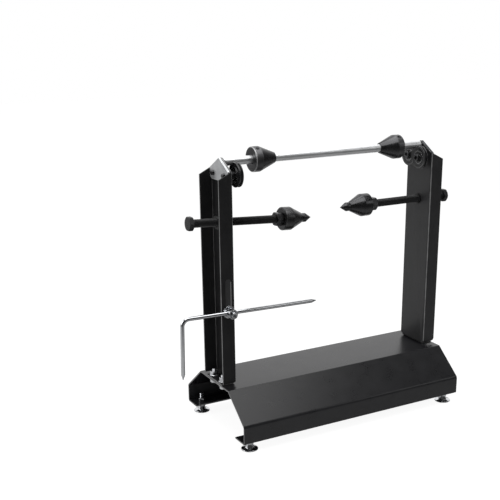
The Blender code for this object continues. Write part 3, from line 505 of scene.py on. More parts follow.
def highlighted_corner(mesh, radius, height, reach, finish):
    """Give another finish to the faces round one corner of a turned section: a painted highlight.
    """
    return marked(mesh, finish, lambda r, z: math.hypot(r - radius, z - height) < reach)


def add_piece(name, mesh, place, material, nodes, replace=True):
    """Place a mesh in the CAD frame, in the body of the nodes that it stands for, with a given
    finish.
    """
    if mesh.materials:
        mesh.materials[0] = MATERIALS[material]
    else:
        mesh.materials.append(MATERIALS[material])
    mesh.shade_smooth()
    mesh.set_sharp_from_angle(angle=SHARP_ANGLE)
    obj = link(name, mesh)
    obj.matrix_world = ON_BENCH @ place
    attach(obj, BODY_OF[nodes[0]])
    if replace:
        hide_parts(*nodes)


def stand_in(node, mesh, place, material=None):
    """A fine piece in the place of one CAD node."""
    material = material or MATERIAL_OF_SLOT[SLOT_OF[node]]
    add_piece(node + "_finished", mesh, place, material, [node])


def extra(name, node, mesh, place, material):
    """A detail that rides with a CAD node and doesn't hide it."""
    add_piece(name, mesh, place, material, [node], replace=False)


# Sheet pieces

EXACT = 0.9999                  # a normal's part along an axis, on a square face
CUT_EDGE_WIDTH = 1.2 * SHEET
GABLE_NORMAL = (0.45, 0.55)     # the part across, on a gable's slope
CREST_NORMAL = 0.5
LEVEL_NORMAL = 0.01             # the part along X, on a face that runs along X


def is_cut_edge(face):
    """A sheared edge is as narrow as the sheet, and square to an axis."""
    across = 2 * face.calc_area() / face.calc_perimeter()
    return across < CUT_EDGE_WIDTH and max(abs(part) for part in face.normal) > EXACT


def is_gable_edge(face):
    """A sloping edge of a gable."""
    low, high = GABLE_NORMAL
    return abs(face.normal.x) < LEVEL_NORMAL and low < abs(face.normal.y) < high


def is_bend(face):
    """The crest of the fold between a web and a flange."""
    return abs(face.normal.x) > CREST_NORMAL and abs(face.normal.y) > CREST_NORMAL


def bent_section(points, radii):
    """Outer and inner points of bent sheet, from the corners of its outside."""
    outer = [Vector(points[0])]
    inner = []
    normals = []
    for a, b in zip(points, points[1:]):
        along = (Vector(b) - Vector(a)).normalized()
        normals.append(Vector((-along.y, along.x)))
    inner.append(outer[0] + normals[0] * SHEET)
    for point, radius, before, after in zip(points[1:-1], radii, normals, normals[1:]):
        half = math.acos(max(-1, min(1, before.dot(after)))) / 2
        middle = (before + after).normalized()
        centre = Vector(point) + middle * (radius / math.cos(half))
        start = math.atan2(-before.y, -before.x)
        sweep = 2 * half
        for k in range(BEND_ROWS + 1):
            angle = start + sweep * k / BEND_ROWS
            spoke = Vector((math.cos(angle), math.sin(angle)))
            outer.append(centre + spoke * radius)
            inner.append(centre + spoke * (radius - SHEET))
    outer.append(Vector(points[-1]))
    inner.append(outer[-1] + normals[-1] * SHEET)
    return outer, inner


def base_mesh():
    """The folded base with its holes. The fold above each skirt is rounder than the others."""
    edge = BASE_WIDTH / 2
    half = [(edge - BASE_RETURN_WIDTH, -BASE_HEIGHT), (edge, -BASE_HEIGHT),
            (edge, BASE_SKIRT_HEIGHT - BASE_HEIGHT), (BASE_TOP_WIDTH / 2, 0)]
    points = half + [(-y, z) for y, z in reversed(half)]
    radii = [BEND_RADIUS, SLOPE_BEND_RADIUS, BEND_RADIUS]
    outer, inner = bent_section(points, radii + radii[::-1])
    section = outer + inner[::-1]
    count = len(section)
    verts = [(x, y, z) for x in (-BASE_LENGTH / 2, BASE_LENGTH / 2) for y, z in section]
    faces = [(i, (i + 1) % count, (i + 1) % count + count, i + count) for i in range(count)]
    for i in range(len(outer) - 1):
        cap = (i, i + 1, count - 2 - i, count - 1 - i)
        faces += [cap, tuple(corner + count for corner in cap)]
    holes = []
    for _, side, row in CORNERS:
        for place in (upright_bolt_place(side, row), foot_place(side, row)):
            hole = drill_mesh(M8_RADIUS + GAP, -CUT_REACH, CUT_REACH)
            hole.transform(place)
            holes.append(hole)
    return cut(mesh_from(verts, faces), holes)


def finish_index(face):
    """Place of a face's finish among the slots of a sheet piece."""
    for index, test in ((1, is_cut_edge), (2, is_bend), (3, is_gable_edge)):
        if test(face):
            return index
    return 0


def sheet_copy(node, paint, edge_width, bend=None, gable=None, mesh=None):
    """A sheet piece with broken edges, from a given mesh in the base's frame or from its CAD
    solid. Points are welded and flat faces joined, so that the edges bevel. Cut edges, the
    crests of bends and gable edges can have a finish of their own: on the crests it is a painted
    highlight, and on gable edges it can paint light or shade."""
    if mesh:
        mesh.transform(ON_BENCH)
    else:
        mesh = frame["nodes"][node].data.copy()
    bm = bmesh.new()
    bm.from_mesh(mesh)
    bmesh.ops.remove_doubles(bm, verts=bm.verts, dist=MERGE_DISTANCE)
    bmesh.ops.dissolve_limit(bm, angle_limit=FLAT_ANGLE, verts=bm.verts, edges=bm.edges)
    for face in bm.faces:
        face.material_index = finish_index(face)
    clean = bpy.data.meshes.new(node)
    for finish in (paint, "cut_edge", bend or paint, gable or paint):
        clean.materials.append(MATERIALS[finish])
    bm.to_mesh(clean)
    bm.free()
    clean.shade_smooth()
    clean.set_sharp_from_angle(angle=SHARP_ANGLE)
    obj = link(node + "_finished", clean)
    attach(obj, BODY_OF[node])
    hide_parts(node)
    bevel = obj.modifiers.new("Edges", "BEVEL")
    bevel.width = edge_width
    bevel.segments = EDGE_SEGMENTS
    bevel.limit_method = "ANGLE"
    bevel.angle_limit = SHARP_ANGLE
    bevel.harden_normals = True
    bevel.use_clamp_overlap = True


def build_sheets():
    sheet_copy("base", "base_paint", SHEET_EDGE, mesh=base_mesh())
    # The left upright's gable slopes take the light cut-edge finish as painted light, and the
    # right roller plate's gable slopes a darkened zinc as painted shade, for faces that are the
    # same on both sides.
    sheet_copy("left_upright", "left_upright_shaded_paint", SHEET_EDGE, "fold_highlight_paint", "cut_edge")
    sheet_copy("right_upright", "right_upright_lit_paint", SHEET_EDGE, "fold_highlight_paint")
    sheet_copy("left_roller_plate", "zinc", PLATE_EDGE)
    sheet_copy("right_roller_plate", "zinc", PLATE_EDGE, gable="shaded_plate_gable")


# Bolts that hold the uprights down

BOLT_TURNS = (64, 98, 82, 116)  # where each corner's hexagons stop, in degrees


def upright_bolt_mesh():
    nut_high = 2 * GAP + SHEET + M8_FLANGE_THICKNESS + M8_NUT_THICKNESS
    top = nut_high + THREAD_END
    head_high = -SHEET - GAP
    under = head_high - M8_FLANGE_THICKNESS
    low = under - M8_HEAD_THICKNESS
    rows = [(0, low), (M8_FLATS / 2 - THREAD_LEAD, low)]
    rows += hex_rows(M8_FLATS, low, under, True, False)
    rows += [(M8_FLANGE_RADIUS - FLANGE_BLEND, under), (M8_FLANGE_RADIUS, under + FLANGE_RISE),
             (M8_FLANGE_RADIUS, head_high - FLANGE_EDGE),
             (M8_FLANGE_RADIUS - FLANGE_EDGE, head_high), (M8_RADIUS, head_high)]
    rows += thread_rows(M8_RADIUS, M8_PITCH, head_high + FLANGE_EDGE, top - THREAD_LEAD)
    rows += [(M8_RADIUS - SCREW_POINT, top), (0, top)]
    return lathe(rows, SCREW_STEPS)


def upright_nut_mesh():
    low = 2 * GAP + SHEET
    flange = low + M8_FLANGE_THICKNESS
    high = flange + M8_NUT_THICKNESS
    bore = M8_RADIUS + GAP
    rows = [(bore, low), (M8_FLANGE_RADIUS - FLANGE_EDGE, low),
            (M8_FLANGE_RADIUS, low + FLANGE_EDGE), (M8_FLANGE_RADIUS, flange - FLANGE_RISE),
            (M8_FLANGE_RADIUS - FLANGE_BLEND, flange)]
    rows += hex_rows(M8_FLATS, flange, high, False, True)
    rows += [(bore + THREAD_LEAD, high), (bore, high - THREAD_LEAD)]
    return lathe(rows)


def upright_bolt_place(side, row):
    x = side * (WEB_FACE + UPRIGHT_BOLT_OFFSET)
    return Matrix.Translation((x, row * UPRIGHT_BOLT_PITCH / 2, 0))


def build_upright_bolts():
    for (name, side, row), degrees in zip(CORNERS, BOLT_TURNS):
        place = upright_bolt_place(side, row)
        turn = math.radians(degrees)
        stand_in(name + "_upright_bolt", turned(upright_bolt_mesh(), turn), place)
        stand_in(name + "_upright_nut", turned(upright_nut_mesh(), turn), place)


# Rollers

RECESS_START = 0.0015           # from the bore
RECESS_END = 0.0026             # from the rim
DEEP_RECESS = 0.0012            # on the side that faces the web
SHALLOW_RECESS = 0.0004
HUB_EDGE = 0.0012
RIM_LIP = 0.0018
ROLLER_EDGE = 0.0006
SEAL_RADIUS = 0.0104            # of the seal that faces the wheel
SEAL_SEAT = 0.0009
SEAL_SUNK = 0.0003
SEAL_LIP = 0.0006
SEAL_DISH = 0.0002
SEAL_THICKNESS = 0.0005
SEAL_PLAY = 0.00005
CAP_EDGE = 0.0006
CAP_MOUTH_RADIUS = 0.00375
GROOVE_NARROWING = 2.5          # from the groove's mouth to its floor
AXLE_SCREW_TURNS = (13, 42, 71, 100)


def roller_mesh():
    half = ROLLER_WIDTH / 2
    rim = half - ROLLER_RIM
    floor = ROLLER_RADIUS - ROLLER_GROOVE_DEPTH
    bore = BEARING_RADIUS + GAP

    def half_section(sink):
        return [(bore, half), (bore + HUB_EDGE, half), (bore + RECESS_START, half - sink),
                (ROLLER_RADIUS - RECESS_END, half - sink), (ROLLER_RADIUS - RIM_LIP, half),
                (ROLLER_RADIUS, half), (ROLLER_RADIUS, rim), (floor, rim / GROOVE_NARROWING)]
    section = half_section(DEEP_RECESS)
    section += [(r, -z) for r, z in reversed(half_section(SHALLOW_RECESS))]
    return lathe(softened(section, ROLLER_EDGE))


def bearing_ring_mesh():
    """Outer ring with a seat for a wide seal on the side that faces the wheel."""
    half = BEARING_WIDTH / 2
    race = BEARING_RADIUS - BEARING_RACE
    seat = SEAL_SEAT - half
    section = [(race, half), (BEARING_RADIUS, half), (BEARING_RADIUS, -half),
               (SEAL_RADIUS, -half), (SEAL_RADIUS, seat), (race, seat)]
    return lathe(softened(section, EDGE_RADIUS / 2))


def seal_mesh(outside):
    """Dished seal between the two rings of a bearing."""
    inside = INNER_RING_RADIUS + SEAL_DISH
    half = BEARING_WIDTH / 2 - SEAL_SUNK
    section = [(outside, half - SEAL_DISH / 2), (outside - SEAL_LIP, half),
               (inside + SEAL_THICKNESS, half - SEAL_DISH), (inside, half - 2 * SEAL_DISH)]
    section += [(r, z - SEAL_THICKNESS) for r, z in reversed(section)]
    return lathe(section)


def inner_ring_mesh():
    half = BEARING_WIDTH / 2
    bore = M8_RADIUS + GAP
    section = [(bore, half), (INNER_RING_RADIUS, half), (INNER_RING_RADIUS, -half), (bore, -half)]
    return lathe(softened(section))


def roller_middle(row):
    rear = REAR_ROLLER_SETBACK + ROLLER_WIDTH / 2
    return rear if row > 0 else rear + ROLLER_SIDE_GAP + ROLLER_WIDTH


def axle_spacer_mesh(row):
    end = roller_middle(row) - BEARING_WIDTH / 2 - GAP
    bore = M8_RADIUS + GAP
    section = [(bore, -GAP), (INNER_RING_RADIUS, -GAP), (INNER_RING_RADIUS, -end), (bore, -end)]
    return lathe(softened(section))


def axle_screw_mesh(row):
    """Low-head cap screw. Z = 0 is the web's inner face, and the head is on the -Z side."""
    under = -(roller_middle(row) + BEARING_WIDTH / 2) - GAP
    top = under - CAP_HEAD_HEIGHT
    end = SHEET + GAP + PLATE_THICKNESS + THREAD_END
    rows = list(reversed(socket_rows(CAP_SOCKET_FLATS, CAP_SOCKET_DEPTH, top, 1)))
    rows += softened([(CAP_MOUTH_RADIUS, top), (CAP_HEAD_RADIUS, top),
                      (CAP_HEAD_RADIUS, under), (M8_RADIUS, under)], CAP_EDGE)[1:-CORNER_ROWS]
    rows += thread_rows(M8_RADIUS, M8_PITCH, under + UNDER_HEAD, end - THREAD_LEAD)
    rows += [(M8_RADIUS - SCREW_POINT, end), (0, end)]
    return lathe(rows, SCREW_STEPS)


def build_rollers():
    height = SHAFT_HEIGHT - math.sqrt((ROLLER_RADIUS + SHAFT_RADIUS + GAP) ** 2
                                      - (ROLLER_PITCH / 2) ** 2)
    for (name, side, row), degrees in zip(CORNERS, AXLE_SCREW_TURNS):
        place = pointing((side * WEB_FACE, row * ROLLER_PITCH / 2, height), (side, 0, 0))
        middle = place @ Matrix.Translation((0, 0, -roller_middle(row)))
        stand_in(name + "_roller", roller_mesh(), middle)
        stand_in(name + "_roller_bearing", bearing_ring_mesh(), middle)
        for end, turn, outside in (("inner", 0, BEARING_RADIUS - BEARING_RACE),
                                   ("outer", math.pi, SEAL_RADIUS)):
            extra(name + "_seal_" + end, name + "_roller_bearing",
                  seal_mesh(outside - SEAL_PLAY), middle @ Matrix.Rotation(turn, 4, "X"), "seal")
        stand_in(name + "_bearing_inner_ring", inner_ring_mesh(), middle)
        stand_in(name + "_axle_spacer", axle_spacer_mesh(row), place)
        stand_in(name + "_axle_screw", turned(axle_screw_mesh(row), math.radians(degrees)), place)


# Balance shaft and its cones

SHAFT_CHAMFER = 0.0008
SHAFT_EDGE = 0.0002
CENTRE_HOLE_RADIUS = 0.0016
CENTRE_HOLE_DEPTH = 0.003
GRUB_CHAMFER = 0.0004
BRIGHT_RIM_REACH = 0.0008


def shaft_mesh():
    half = [(0, SHAFT_END - CENTRE_HOLE_DEPTH), (CENTRE_HOLE_RADIUS, SHAFT_END),
            (SHAFT_RADIUS - SHAFT_CHAMFER, SHAFT_END), (SHAFT_RADIUS, SHAFT_END - SHAFT_CHAMFER)]
    return lathe(softened(half + [(r, -z) for r, z in reversed(half)], SHAFT_EDGE))


def shaft_cone_mesh():
    bore = SHAFT_RADIUS + GAP
    edge = SHAFT_CONE_CHAMFER
    length = SHAFT_CONE_BAND + SHAFT_CONE_TAPER + edge
    section = [
        (SHAFT_CONE_NOSE_RADIUS - edge / 2, length), (SHAFT_CONE_NOSE_RADIUS, length - edge / 2),
        (SHAFT_CONE_RADIUS, SHAFT_CONE_BAND + edge), (SHAFT_CONE_RADIUS, edge),
        (SHAFT_CONE_RADIUS - edge, 0), (bore + edge, 0), (bore, edge), (bore, length),
    ]
    hole = drill_mesh(GRUB_RADIUS + GAP, 0, 3 * CUT_REACH)
    place = (Matrix.Rotation(math.pi, 4, "Z") @ Matrix.Translation((0, 0, grub_height()))
             @ Matrix.Rotation(math.pi / 2, 4, "X"))
    hole.transform(place)
    mesh = cut(lathe(softened(section)), [hole])
    marked(mesh, "band_oxide",
           lambda r, z: r > SHAFT_CONE_RADIUS - edge / 2 and edge < z < edge + SHAFT_CONE_BAND)
    # A painted highlight round the cone's back corner.
    return highlighted_corner(mesh, SHAFT_CONE_RADIUS - edge / 2, edge / 2, BRIGHT_RIM_REACH, "shaft_cone_rim_highlight")


def grub_height():
    return SHAFT_CONE_CHAMFER + SHAFT_CONE_BAND / 2


def grub_screw_mesh():
    high = SHAFT_CONE_RADIUS - GRUB_SUNK
    low = SHAFT_RADIUS + GAP
    narrow = GRUB_RADIUS - GRUB_CHAMFER
    rows = [(0, low), (narrow, low), (GRUB_RADIUS, low + GRUB_CHAMFER),
            (GRUB_RADIUS, high - GRUB_CHAMFER), (narrow, high)]
    rows += socket_rows(GRUB_SOCKET_FLATS, GRUB_SOCKET_FLATS, high, -1)
    return lathe(rows, HOLE_STEPS)


def build_shaft():
    axis = pointing((0, 0, SHAFT_HEIGHT), (1, 0, 0))
    stand_in("balance_shaft", shaft_mesh(), axis, "ground_steel")
    cones = (("left", -1, LEFT_CONE_SETBACK), ("right", 1, RIGHT_CONE_SETBACK))
    for name, side, setback in cones:
        place = Matrix.Translation((side * (WEB_FACE - setback), 0, SHAFT_HEIGHT))
        stand_in(name + "_shaft_cone", turned(shaft_cone_mesh(), -side * GRUB_LEAN),
                 place @ pointing((0, 0, 0), (-side, 0, 0)))
        screw = grub_screw_mesh()
        screw.transform(Matrix.Rotation(GRUB_LEAN, 4, "X"))
        stand_in(name + "_cone_grub_screw", screw,
                 place @ Matrix.Translation((-side * grub_height(), 0, 0)))


# Screwed arms

ARM_HEAD_CHAMFER = 0.0015
ARM_FILLET = 0.0008
ARM_THREAD_START = 0.003        # from the head
POINT_RADIUS = 0.0004
POINT_DROP = 0.0001
COLLAR_EDGE = 0.0005
COLLAR_BORE_EDGE = 0.0003


def arm_screw_mesh(reach):
    """Fine-threaded bar with a hexagon head and a spigot. Z runs to the point."""
    nose = reach - ARM_TIP_LENGTH - GAP
    spigot_end = reach - ARM_TIP_LENGTH + ARM_TIP_SOCKET - GAP
    step = nose - ARM_CONE_STEP - GAP
    low = reach - ARM_LENGTH
    high = low + ARM_HEAD_THICKNESS
    rows = [(0, low), (ARM_HEAD_FLATS / 2 - ARM_HEAD_CHAMFER, low)]
    rows += hex_rows(ARM_HEAD_FLATS, low, high, True, True)
    rows += [(ARM_RADIUS + ARM_FILLET, high), (ARM_RADIUS, high + THREAD_LEAD)]
    rows += thread_rows(ARM_RADIUS, ARM_PITCH, high + ARM_THREAD_START, step - THREAD_LEAD)
    rows += [(ARM_RADIUS - THREAD_LEAD, step), (ARM_SPIGOT_RADIUS, step),
             (ARM_SPIGOT_RADIUS, spigot_end), (0, spigot_end)]
    return lathe(rows, SCREW_STEPS)


def arm_tip_mesh(reach):
    back = reach - ARM_TIP_LENGTH
    bore = ARM_SPIGOT_RADIUS + GAP
    section = [(0, reach), (POINT_RADIUS, reach - POINT_DROP),
               (ARM_TIP_RADIUS, reach - ARM_POINT_LENGTH), (ARM_TIP_RADIUS, back), (bore, back),
               (bore, back + ARM_TIP_SOCKET), (0, back + ARM_TIP_SOCKET)]
    return lathe(softened(section))


def arm_cone_mesh(reach):
    nose = reach - ARM_TIP_LENGTH - GAP
    band = nose - ARM_CONE_TAPER
    back = band - ARM_CONE_BAND - ARM_CONE_CHAMFER
    narrow = ARM_SPIGOT_RADIUS + GAP
    wide = ARM_RADIUS + GAP
    section = [
        (ARM_CONE_NOSE_RADIUS, nose), (ARM_CONE_RADIUS, band),
        (ARM_CONE_RADIUS, back + ARM_CONE_CHAMFER), (ARM_CONE_RADIUS - ARM_CONE_CHAMFER, back),
        (wide + THREAD_LEAD, back), (wide, back + THREAD_LEAD), (wide, nose - ARM_CONE_STEP),
        (narrow, nose - ARM_CONE_STEP), (narrow, nose),
    ]
    mesh = lathe(softened(section))
    # A painted highlight round the cone's back corner.
    return highlighted_corner(mesh, ARM_CONE_RADIUS, back + ARM_CONE_CHAMFER, ARM_CONE_CHAMFER / 2,
                  "arm_cone_rim_highlight")


def web_nut_mesh(droop):
    span = WEB_NUT_COLLAR_REACH + SHEET + GAP + WEB_NUT_THICKNESS
    high = span / 2
    low = -high
    face = low + WEB_NUT_THICKNESS
    bore = ARM_RADIUS / math.cos(droop) + math.tan(droop) * high + GAP
    rows = hex_rows(ARM_HEAD_FLATS, low, face, True, False)
    rows += [(WEB_NUT_COLLAR_RADIUS, face), (WEB_NUT_COLLAR_RADIUS, high - COLLAR_EDGE),
             (WEB_NUT_COLLAR_RADIUS - COLLAR_EDGE, high), (bore + COLLAR_BORE_EDGE, high),
             (bore, high - COLLAR_BORE_EDGE), (bore, low + COLLAR_EDGE),
             (bore + COLLAR_EDGE, low)]
    return lathe(rows)


def build_arms():
    middle = (WEB_NUT_COLLAR_REACH + SHEET + GAP + WEB_NUT_THICKNESS) / 2 - WEB_NUT_COLLAR_REACH
    start = WEB_FACE + middle
    arms = (
        ("left", -1, LEFT_ARM_DROOP, start - LEFT_POINT_PLACE, LEFT_LOCK_NUT_SETBACK),
        ("right", 1, 0, start - RIGHT_POINT_PLACE, RIGHT_LOCK_NUT_SETBACK),
    )
    cone_length = ARM_CONE_TAPER + ARM_CONE_BAND + ARM_CONE_CHAMFER
    for name, side, droop, reach, setback in arms:
        point = (side * start, 0, ARM_HEIGHT)
        stand_in(name + "_arm_web_nut", web_nut_mesh(droop), pointing(point, (-side, 0, 0)),
                 "arm_black")
        axis = pointing(point, (-side * math.cos(droop), 0, -math.sin(droop)))
        stand_in(name + "_arm_screw", arm_screw_mesh(reach), axis, "arm_black")
        nut_high = reach - ARM_TIP_LENGTH - GAP - cone_length - setback
        nut = nut_mesh(ARM_HEAD_FLATS, nut_high - LOCK_NUT_THICKNESS, nut_high,
                       ARM_RADIUS + GAP)
        stand_in(name + "_arm_lock_nut", nut, axis)
        stand_in(name + "_arm_cone", arm_cone_mesh(reach), axis)
        stand_in(name + "_arm_tip", arm_tip_mesh(reach), axis)


# Pointer and its clamp

ROD_BEND_STEPS = 24
ROD_STEPS = 48
CLAMP_EDGE = 0.0006
CLAMP_SOCKET_WALL = 0.003
WASHER_EDGE = 0.0005


def pointer_rod_mesh():
    """Round bar swept along a line with one bend, and pointed at both ends."""
    radius = POINTER_BEND_RADIUS
    route = [(POINTER_REACH, 0, POINTER_TIP_SHARE), (POINTER_REACH - POINTER_TAPER, 0, 1)]
    centre = (-POINTER_TAIL + radius, -radius)
    for k in range(ROD_BEND_STEPS + 1):
        angle = math.pi / 2 + math.pi / 2 * k / ROD_BEND_STEPS
        route.append((centre[0] + radius * math.cos(angle), centre[1] + radius * math.sin(angle),
                      1))
    route.append((-POINTER_TAIL, -POINTER_LEG + POINTER_TAPER, 1))
    route.append((-POINTER_TAIL, -POINTER_LEG, POINTER_TIP_SHARE))
    points = [Vector((x, 0, z)) for x, z, _ in route]
    side = Vector((0, 1, 0))
    steps = ROD_STEPS
    vertices = []
    for i, (point, (_, _, share)) in enumerate(zip(points, route)):
        along = points[min(i + 1, len(points) - 1)] - points[max(i - 1, 0)]
        up = along.normalized().cross(side)
        for column in range(steps):
            angle = TAU * column / steps
            offset = side * math.cos(angle) + up * math.sin(angle)
            vertices.append(point + offset * POINTER_RADIUS * share)
    faces = [[i * steps + c, i * steps + (c + 1) % steps, (i + 1) * steps + (c + 1) % steps,
              (i + 1) * steps + c] for i in range(len(points) - 1) for c in range(steps)]
    faces.append(list(range(steps)))
    faces.append([(len(points) - 1) * steps + c for c in range(steps)])
    return mesh_from(vertices, faces)


def clamp_bolt_mesh():
    nut_high = POINTER_RADIUS + GAP + CLAMP_NUT_THICKNESS
    end = nut_high + CLAMP_THREAD_END
    washer_low = -POINTER_RADIUS - GAP - CLAMP_WASHER_THICKNESS
    flange_high = washer_low - GAP - SHEET - GAP
    flange_low = flange_high - CLAMP_FLANGE_THICKNESS
    head_low = flange_low - CLAMP_HEAD_THICKNESS
    section = [(0, head_low), (CLAMP_HEAD_RADIUS, head_low), (CLAMP_HEAD_RADIUS, flange_low),
               (CLAMP_FLANGE_RADIUS, flange_low), (CLAMP_FLANGE_RADIUS, flange_high),
               (CLAMP_RADIUS, flange_high), (CLAMP_RADIUS, end), (0, end)]
    rows = softened(section, CLAMP_EDGE)[:-CORNER_ROWS - 1]
    rows.append((CLAMP_RADIUS - CLAMP_EDGE, end))
    rows += socket_rows(CLAMP_SOCKET_FLATS, CLAMP_SOCKET_WALL, end, -1)
    hole = drill_mesh(POINTER_RADIUS + GAP, -CUT_REACH, CUT_REACH)
    hole.transform(Matrix.Rotation(math.pi / 2, 4, "Y"))
    return cut(lathe(rows), [hole])


def build_pointer():
    plane = -(UPRIGHT_WIDTH / 2 + GAP + CLAMP_WASHER_THICKNESS + GAP + POINTER_RADIUS)
    middle = (-WEB_FACE - POINTER_OFFSET, plane, POINTER_HEIGHT)
    axis = Matrix.Translation(middle) @ Matrix.Rotation(POINTER_TILT, 4, "Y")
    outward = axis @ pointing((0, 0, 0), (0, -1, 0))
    stand_in("pointer_rod", pointer_rod_mesh(), axis, "rod_plate")
    stand_in("pointer_clamp_bolt", clamp_bolt_mesh(), outward)
    low = POINTER_RADIUS + GAP
    nut = nut_mesh(CLAMP_NUT_FLATS, low, low + CLAMP_NUT_THICKNESS, CLAMP_RADIUS + GAP)
    stand_in("pointer_clamp_nut", turned(nut, CLAMP_NUT_TURN), outward)
    bore = CLAMP_RADIUS + GAP
    washer = [(bore, -low), (CLAMP_WASHER_RADIUS, -low),
              (CLAMP_WASHER_RADIUS, -low - CLAMP_WASHER_THICKNESS),
              (bore, -low - CLAMP_WASHER_THICKNESS)]
    stand_in("pointer_clamp_washer", lathe(softened(washer, WASHER_EDGE)), outward)


# Levelling feet

FOOT_EDGE = 0.0007
FOOT_COLLAR = 0.001
FOOT_TURNS = (11, 34, 57, 80)


def foot_mesh():
    """Pressed pad, hub, hexagon and threaded stud. Z = 0 is the return's underside."""
    hex_high = -GAP
    hex_low = hex_high - FOOT_HEX_THICKNESS
    bottom = -FOOT_HEIGHT
    rim = bottom + FOOT_RIM
    rows = softened([(0, bottom), (FOOT_RADIUS, bottom), (FOOT_RADIUS, rim),
                     (FOOT_HUB_FOOT_RADIUS, rim + FOOT_DISH), (FOOT_HUB_RADIUS, hex_low),
                     (FOOT_HUB_RADIUS + FOOT_COLLAR, hex_low)], FOOT_EDGE)[:-CORNER_ROWS]
    rows += hex_rows(M8_FLATS, hex_low, hex_high, True, True)
    rows += [(M8_RADIUS + UNDER_HEAD, hex_high)]
    rows += thread_rows(M8_RADIUS, M8_PITCH, hex_high + FLANGE_EDGE,
                        FOOT_STUD_RISE - THREAD_LEAD)
    rows += [(M8_RADIUS - SCREW_POINT, FOOT_STUD_RISE), (0, FOOT_STUD_RISE)]
    return lathe(rows, SCREW_STEPS)


def foot_place(side, row):
    x = side * (BASE_LENGTH / 2 - FOOT_INSET_X)
    y = row * (BASE_WIDTH / 2 - FOOT_INSET_Y)
    return Matrix.Translation((x, y, -BASE_HEIGHT))


def build_feet():
    for (name, side, row), degrees in zip(CORNERS, FOOT_TURNS):
        place = foot_place(side, row)
        turn = math.radians(degrees)
        stand_in(name + "_foot", turned(foot_mesh(), turn), place)
        low = SHEET + GAP
        nut = nut_mesh(M8_FLATS, low, low + FOOT_NUT_THICKNESS, M8_RADIUS + GAP)
        stand_in(name + "_foot_nut", turned(nut, turn), place)


# Studio

FLOOR_REACH = 6.0
FLOOR_DROP = 0.0005
FLOOR_GLOW = 0.92               # what the camera sees of the floor in full shadow
FLOOR_COLOUR = (0.80, 0.80, 0.80, 1)
SHADOW_COLOUR = (0.18, 0.18, 0.18, 1)
REFLECTED_FRONT = 0.12          # what glossy rays see of the floor in front and behind
REFLECTED_BEHIND = 0.60
REFLECTED_RANGE = (-1.0, 0.5)   # along Y, from the front value to the one behind
WORLD_LIGHT = 0.5
ROOM_LEVEL = 0.05               # of the backdrop's white
ROOM_FROM = -0.30               # along +Y of a ray's direction
BACKDROP_FROM = 0.60

# Name, place, target, width and height, watts
SOFTBOXES = (
    ("top_softbox", (-0.04, -0.25, 1.55), (-0.04, -0.25, 0), (1.52, 1.5), 16.2),
    ("right_softbox", (1.45, -1.35, 1.25), (0.1, 0, 0.45), (0.8, 0.7), 2),
    ("left_softbox", (-1.8, 0.4, 1.2), (0, 0, 0.2), (0.7, 1.2), 10),
)

CAMERA_PLACE = (-0.8637, -1.3851, 0.7126)
CAMERA_AIM = (0.4754, 0.8169, -0.3267)
CAMERA_ROLL = math.radians(-0.03)
CAMERA_LENS = 68.27
CAMERA_SENSOR = 36
CAMERA_SHIFT = (-0.0747, 0.1642)
CAMERA_CLIP_START = 0.05


def calculated(tree, operation, first, second):
    """Result of a Math node. An input is a number or another node's output."""
    node = node_of(tree, "ShaderNodeMath", operation=operation)
    for slot, value in zip(node.inputs, (first, second)):
        if isinstance(value, (int, float)):
            slot.default_value = value
        else:
            tree.links.new(value, slot)
    return node.outputs["Value"]


def backdrop_side(tree):
    """From the dim room in front of the object, low, to the white backdrop behind it, 1."""
    direction = node_of(tree, "ShaderNodeTexCoord").outputs["Generated"]
    split = node_of(tree, "ShaderNodeSeparateXYZ")
    tree.links.new(direction, split.inputs["Vector"])
    level = node_of(tree, "ShaderNodeMapRange", interpolation_type="SMOOTHSTEP")
    level.inputs["From Min"].default_value = ROOM_FROM
    level.inputs["From Max"].default_value = BACKDROP_FROM
    level.inputs["To Min"].default_value = ROOM_LEVEL
    level.inputs["To Max"].default_value = 1.0
    tree.links.new(split.outputs["Y"], level.inputs["Value"])
    return level.outputs["Result"]


